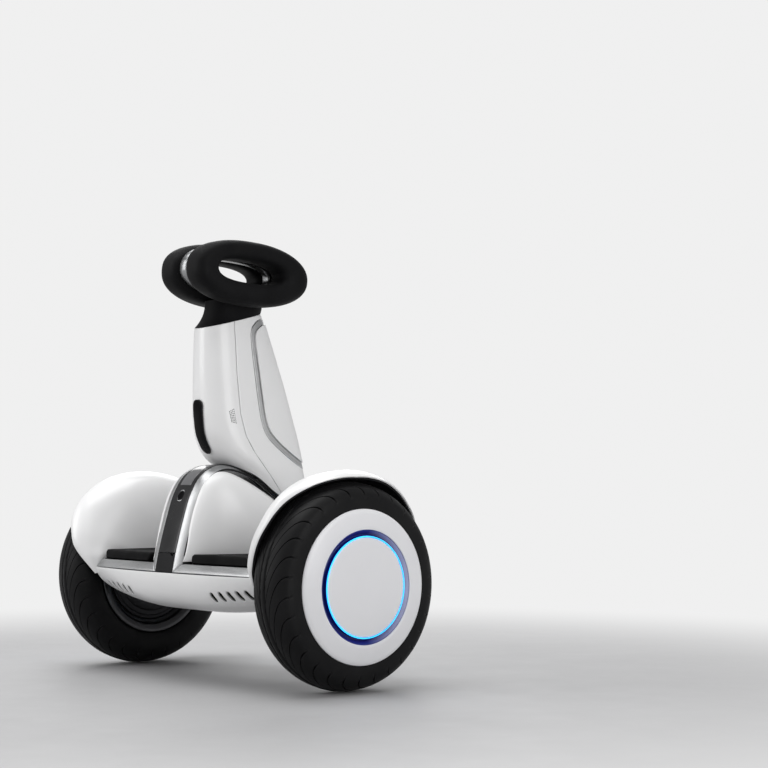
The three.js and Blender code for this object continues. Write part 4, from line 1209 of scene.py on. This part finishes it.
def make_arch():
    port_end, smoke_start = arch_share(PORT_TOP), arch_share(SMOKE_FROM)
    gap = 0.35 / ARCH_LENGTH
    band = panel(strip_surface(port_end + gap, 1.0), 120, 14, (385, 41), 4, 0.8, flip=True)
    strip = piece("arch_strip_look", band, "charcoal", "chassis", "arch_strip")
    inset = strip_surface(smoke_start, 0.995, INSET_HALF_WIDTH, -0.25)
    piece("arch_inset", panel(inset, 90, 14, (290, 34), 1.6, 0.5, flip=True), "smoke", "chassis")
    cover = strip_surface(arch_share(151.4), port_end - gap, STRIP_HALF_WIDTH - 0.1)
    lid = piece("port_cover_look", panel(cover, 16, 14, (26, 41), 3.2, 0.8, flip=True), "cover",
                "charge_port_cover", "charge_port_cover")
    cut(lid, slot_cutter(np.array([14.5, -118, PORT_TOP - 0.5]), 9, 8.9, 12, 0))
    # The arch and rear trims use the darker, painted-shade copy of the trim silver.
    trim = panel(arch_trim_surface, 110, 12, (400, 15), 3, 0.9, flip=True)
    pair("arch_trim_look", trim, "silver", "chassis", "arch_trim")
    # Painted shade for the gap beside each arch trim.
    gap_shade = panel(arch_gap_shade_surface, 110, 6, (390, 2), 2.4, 0.5, flip=True)
    pair("arch_gap_shade", gap_shade, "dark_plastic", "chassis")
    rear = panel(rear_trim_surface, 12, 60, (14, 160), 2.4, 1.0, flip=True)
    pair("rear_trim_look", rear, "silver", "chassis", "rear_trim")
    light = panel(light_surface, 8, 60, (7, 140), 2.0, 1.0)
    pair("light_bar_look", light, "led", "chassis", "light_bar")
    make_button(strip)


def make_button(strip):
    low, high = cad_box("power_button")
    centre = (low + high) / 2
    lean = math.radians(24)
    out = np.array([0, -math.cos(lean), math.sin(lean)])
    up = np.array([0, math.sin(lean), math.cos(lean)])
    angle = np.linspace(0, 2 * np.pi, 48, endpoint=False)[:, None]
    around = lambda radius, lift: (centre + radius * (np.cos(angle) * [1, 0,
                                                                       0] + np.sin(angle) * up) + lift * out)
    face = 1.9
    cut(strip, loft([around(7.1, -12), around(7.1, 6)]))
    cap = [around(r, face + h) for r, h in ((6.9, -4.5), (6.9, -0.35), (6.6, 0), (4, -0.25), (0.5, -0.35))]
    piece("power_button_look", loft(cap), "glossy", "power_button", "power_button")
    ring = [around(r, face + h) for r,
            h in ((7.15, -1.6), (7.15, 0.1), (7.4, 0.3), (8.5, 0.3), (8.9, 0), (8.9, -1.6))]
    ring.append(ring[0])
    piece("power_button_ring", loft(ring, caps=False), "silver", "chassis")


# ---- Knee bar ----
HEAD_LEAN = math.radians(-3)
HEAD_LENGTH, HEAD_HEIGHT = 198.0, 92.0
HOLE_LENGTH, HOLE_HEIGHT, HOLE_BACK, HOLE_UP = 110.0, 31.0, -5.0, 2.0
PAD_EXTRA = 3.0
CORE_TUCK = 0.2


def oval(angle, length, height, exponent):
    return np.stack([length / 2 * power(np.cos(angle), 2 / exponent),
                     height / 2 * power(np.sin(angle), 2 / exponent)], -1)


def head_section(angle, share):
    """A point between the hole (share 0) and the outside (share 1) of the head's side view."""
    outside = oval(angle, HEAD_LENGTH, HEAD_HEIGHT, np.where(np.cos(angle) < 0, 2.4, 2.15))
    hole = oval(angle, HOLE_LENGTH, HOLE_HEIGHT, 2.5) + [HOLE_BACK, HOLE_UP]
    return hole + (outside - hole) * np.asarray(share)[..., None]


def head_place(x, flat):
    """Puts a side-view point of the head into the frame."""
    c, s = math.cos(HEAD_LEAN), math.sin(HEAD_LEAN)
    y, z = flat[..., 0], flat[..., 1]
    return np.stack([x + 0 * y, HEAD_Y + y * c - z * s, HEAD_Z + y * s + z * c], -1)


def make_head():
    across = 128
    turn = np.linspace(0, 2 * np.pi, across, endpoint=False)
    inner_x, outer_x = pad_low[0] - PAD_EXTRA, pad_high[0] + PAD_EXTRA
    ring = []
    for a in np.linspace(0, 2 * np.pi, 56, endpoint=False):
        share = 0.5 + 0.5 * power(np.cos(a), 2 / 2.5)
        x = (inner_x + outer_x) / 2 + (outer_x - inner_x) / 2 * power(np.sin(a), 2 / 2.9)
        ring.append(head_place(x, head_section(turn, share)))
    ring.append(ring[0])
    pair("pad_look", loft(ring, caps=False), "pad", "knee_bar", "knee_pad", sharp=60)
    half = inner_x - 0.1
    rings = []
    tuck = 1 - CORE_TUCK * ease(-np.sin(turn) * 1.4)
    for x, share in [(-half, 0.1), (-half, 0.79), (-half + 2, 0.82), (0, 0.83), (half - 2, 0.82),
                     (half, 0.79),
                     (half, 0.1), (half - 2, 0.07), (0, 0.06), (-half + 2, 0.07), (-half, 0.1)]:
        rings.append(head_place(x,
                                head_section(turn,
                                             share * tuck if share > 0.5 else np.full(across, share))))
    piece("head_core_look", loft(rings, caps=False), "core", "knee_bar", "head_core", sharp=30)
    make_neck()


NECK_TOP = {"z": 533.0, "rear": -51, "widest": -18, "front": 41, "half": 25.5}


def make_neck():
    """The boot between the stem and the head: it takes the stem's sloping outline and narrows upwards."""
    way = (np.linspace(0, 2 * np.pi, 96, endpoint=False) - np.pi) / np.pi
    base = stem_point(way, stem_top(way), 0.3)
    half, back, widest, front = (NECK_TOP[key] for key in ("half", "rear", "widest", "front"))
    behind = np.abs(way) > 0.5
    to_back, to_nose = (1 - np.abs(way)) * np.pi, (0.5 - np.abs(way)) * np.pi
    x = np.sign(way) * half * np.where(behind, power(np.sin(to_back), 2 / REAR_POWER), np.cos(to_nose))
    y_back = widest - (widest - back) * power(np.cos(to_back), 2 / REAR_POWER)
    y = np.where(behind, y_back, widest + (front - widest) * power(np.sin(to_nose), 2 / 1.8))
    rings = []
    for rise in (0, 0.02, 0.06, 0.12, 0.2, 0.3, 0.42, 0.56, 0.72, 0.88, 1):
        narrow = 1 - (1 - rise) ** 2.4
        z = (base[:, 2] + 0.4) * (1 - rise) + NECK_TOP["z"] * rise
        ring_x, ring_y = base[:, 0] + (x - base[:, 0]) * narrow, base[:, 1] + (y - base[:, 1]) * narrow
        rings.append(np.stack([ring_x, ring_y, z], 1))
    piece("neck_look", loft(rings), "pad", "knee_bar", "neck", sharp=60)


# ---- Set ----
CAMERA_AT = (1.9978, -1.4535, 0.2787)
CAMERA_YAW = 49.06
CAMERA_PITCH = 3.47
CAMERA_LENS = 80.34
CAMERA_SHIFT = -0.011
BACKDROP = 0.87
WORLD_FILL = 0.36
FLOOR_FADE = (0.5, 1.45)


def make_set():
    floor_mesh = bpy.data.meshes.new("floor")
    radii = [0.0, 0.4, 0.8, 1.6, 3.2, 8.0, 40.0]
    angles = np.linspace(0, 2 * math.pi, 48, endpoint=False)
    points = [(r * math.cos(a), r * math.sin(a), 0.0) for r in radii[1:] for a in angles]
    rows = len(radii) - 1
    faces = [[48 * i + j, 48 * i + (j + 1) % 48, 48 * (i + 1) + (j + 1) % 48, 48 * (i + 1) + j]
             for i in range(rows - 1) for j in range(48)]
    faces.append(list(range(47, -1, -1)))
    floor_mesh.from_pydata(points, [], faces)
    floor = bpy.data.objects.new("floor", floor_mesh)
    bpy.context.scene.collection.objects.link(floor)
    m = Nodes("floor_paint")
    m.link(m.mix(m.spread(m.noise(3), 0, 1), (0.42, 0.42, 0.425), (0.40, 0.40, 0.405)), m.shader,
           "Base Color")
    m.link(m.spread(m.noise(11), 0.5, 0.65), m.shader, "Roughness")
    m.link(m.bump(m.noise(300), 0.02, 0.2), m.shader, "Normal")
    reach = m.add("ShaderNodeVectorMath", operation="LENGTH")
    m.link(m.coordinates, reach, 0)
    fade = m.add("ShaderNodeMapRange", interpolation_type="SMOOTHSTEP")
    fade.inputs["From Min"].default_value = FLOOR_FADE[0]
    fade.inputs["From Max"].default_value = FLOOR_FADE[1]
    m.link(reach.outputs["Value"], fade, "Value")
    haze = m.add("ShaderNodeEmission", Color=(BACKDROP, BACKDROP, BACKDROP, 1))
    blend = m.add("ShaderNodeMixShader")
    m.link(fade.outputs["Result"], blend, 0)
    m.link(m.shader.outputs["BSDF"], blend, 1)
    m.link(haze.outputs["Emission"], blend, 2)
    surface = next(n for n in m.tree.nodes if n.type == "OUTPUT_MATERIAL")
    m.link(blend.outputs["Shader"], surface, "Surface")
    floor_mesh.materials.append(m.material)
    target = Vector((0, 0, 0.28))

    def area(name, where, size, power_w, color=(1, 1, 1)):
        data = bpy.data.lights.new(name, "AREA")
        data.shape = "RECTANGLE"
        data.size, data.size_y = size
        data.energy = power_w
        data.color = color
        obj = bpy.data.objects.new(name, data)
        obj.location = where
        obj.rotation_euler = (target - Vector(where)).to_track_quat("-Z", "Y").to_euler()
        bpy.context.scene.collection.objects.link(obj)

    area("top_light", (-0.2, -0.3, 2.6), (2.2, 2.2), 50)
    area("left_light", (-1.5, -2.4, 1.5), (1.6, 2.0), 36)
    area("right_light", (2.8, 0.2, 1.2), (1.4, 2.0), 25)
    area("back_light", (-1.8, 1.6, 1.8), (2.0, 1.6), 22)
    world = bpy.data.worlds.new("studio")
    world.use_nodes = True
    tree = world.node_tree
    glow = tree.nodes["Background"]
    glow.inputs["Color"].default_value = (0.96, 0.96, 0.967, 1)
    glow.inputs["Strength"].default_value = WORLD_FILL
    backdrop = tree.nodes.new("ShaderNodeBackground")
    backdrop.inputs["Color"].default_value = (BACKDROP, BACKDROP, BACKDROP, 1)
    path = tree.nodes.new("ShaderNodeLightPath")
    pick = tree.nodes.new("ShaderNodeMixShader")
    tree.links.new(path.outputs["Is Camera Ray"], pick.inputs[0])
    tree.links.new(glow.outputs["Background"], pick.inputs[1])
    tree.links.new(backdrop.outputs["Background"], pick.inputs[2])
    tree.links.new(pick.outputs["Shader"], tree.nodes["World Output"].inputs["Surface"])
    bpy.context.scene.world = world
    camera_data = bpy.data.cameras.new("camera")
    camera_data.lens = CAMERA_LENS
    camera_data.sensor_width = 36.0
    camera_data.shift_y = CAMERA_SHIFT
    camera = bpy.data.objects.new("camera", camera_data)
    camera.location = CAMERA_AT
    camera.rotation_euler = (math.radians(90 + CAMERA_PITCH), 0, math.radians(CAMERA_YAW))
    bpy.context.scene.collection.objects.link(camera)
    bpy.context.scene.camera = camera
    bpy.context.scene.view_settings.view_transform = "Standard"


for side_name, side_sign in SIDES.items():
    make_wheel(side_name, side_sign)
make_stem()
make_body()
make_mats()
make_fenders()
make_arch()
make_head()
paint_kept_nodes()
make_set()
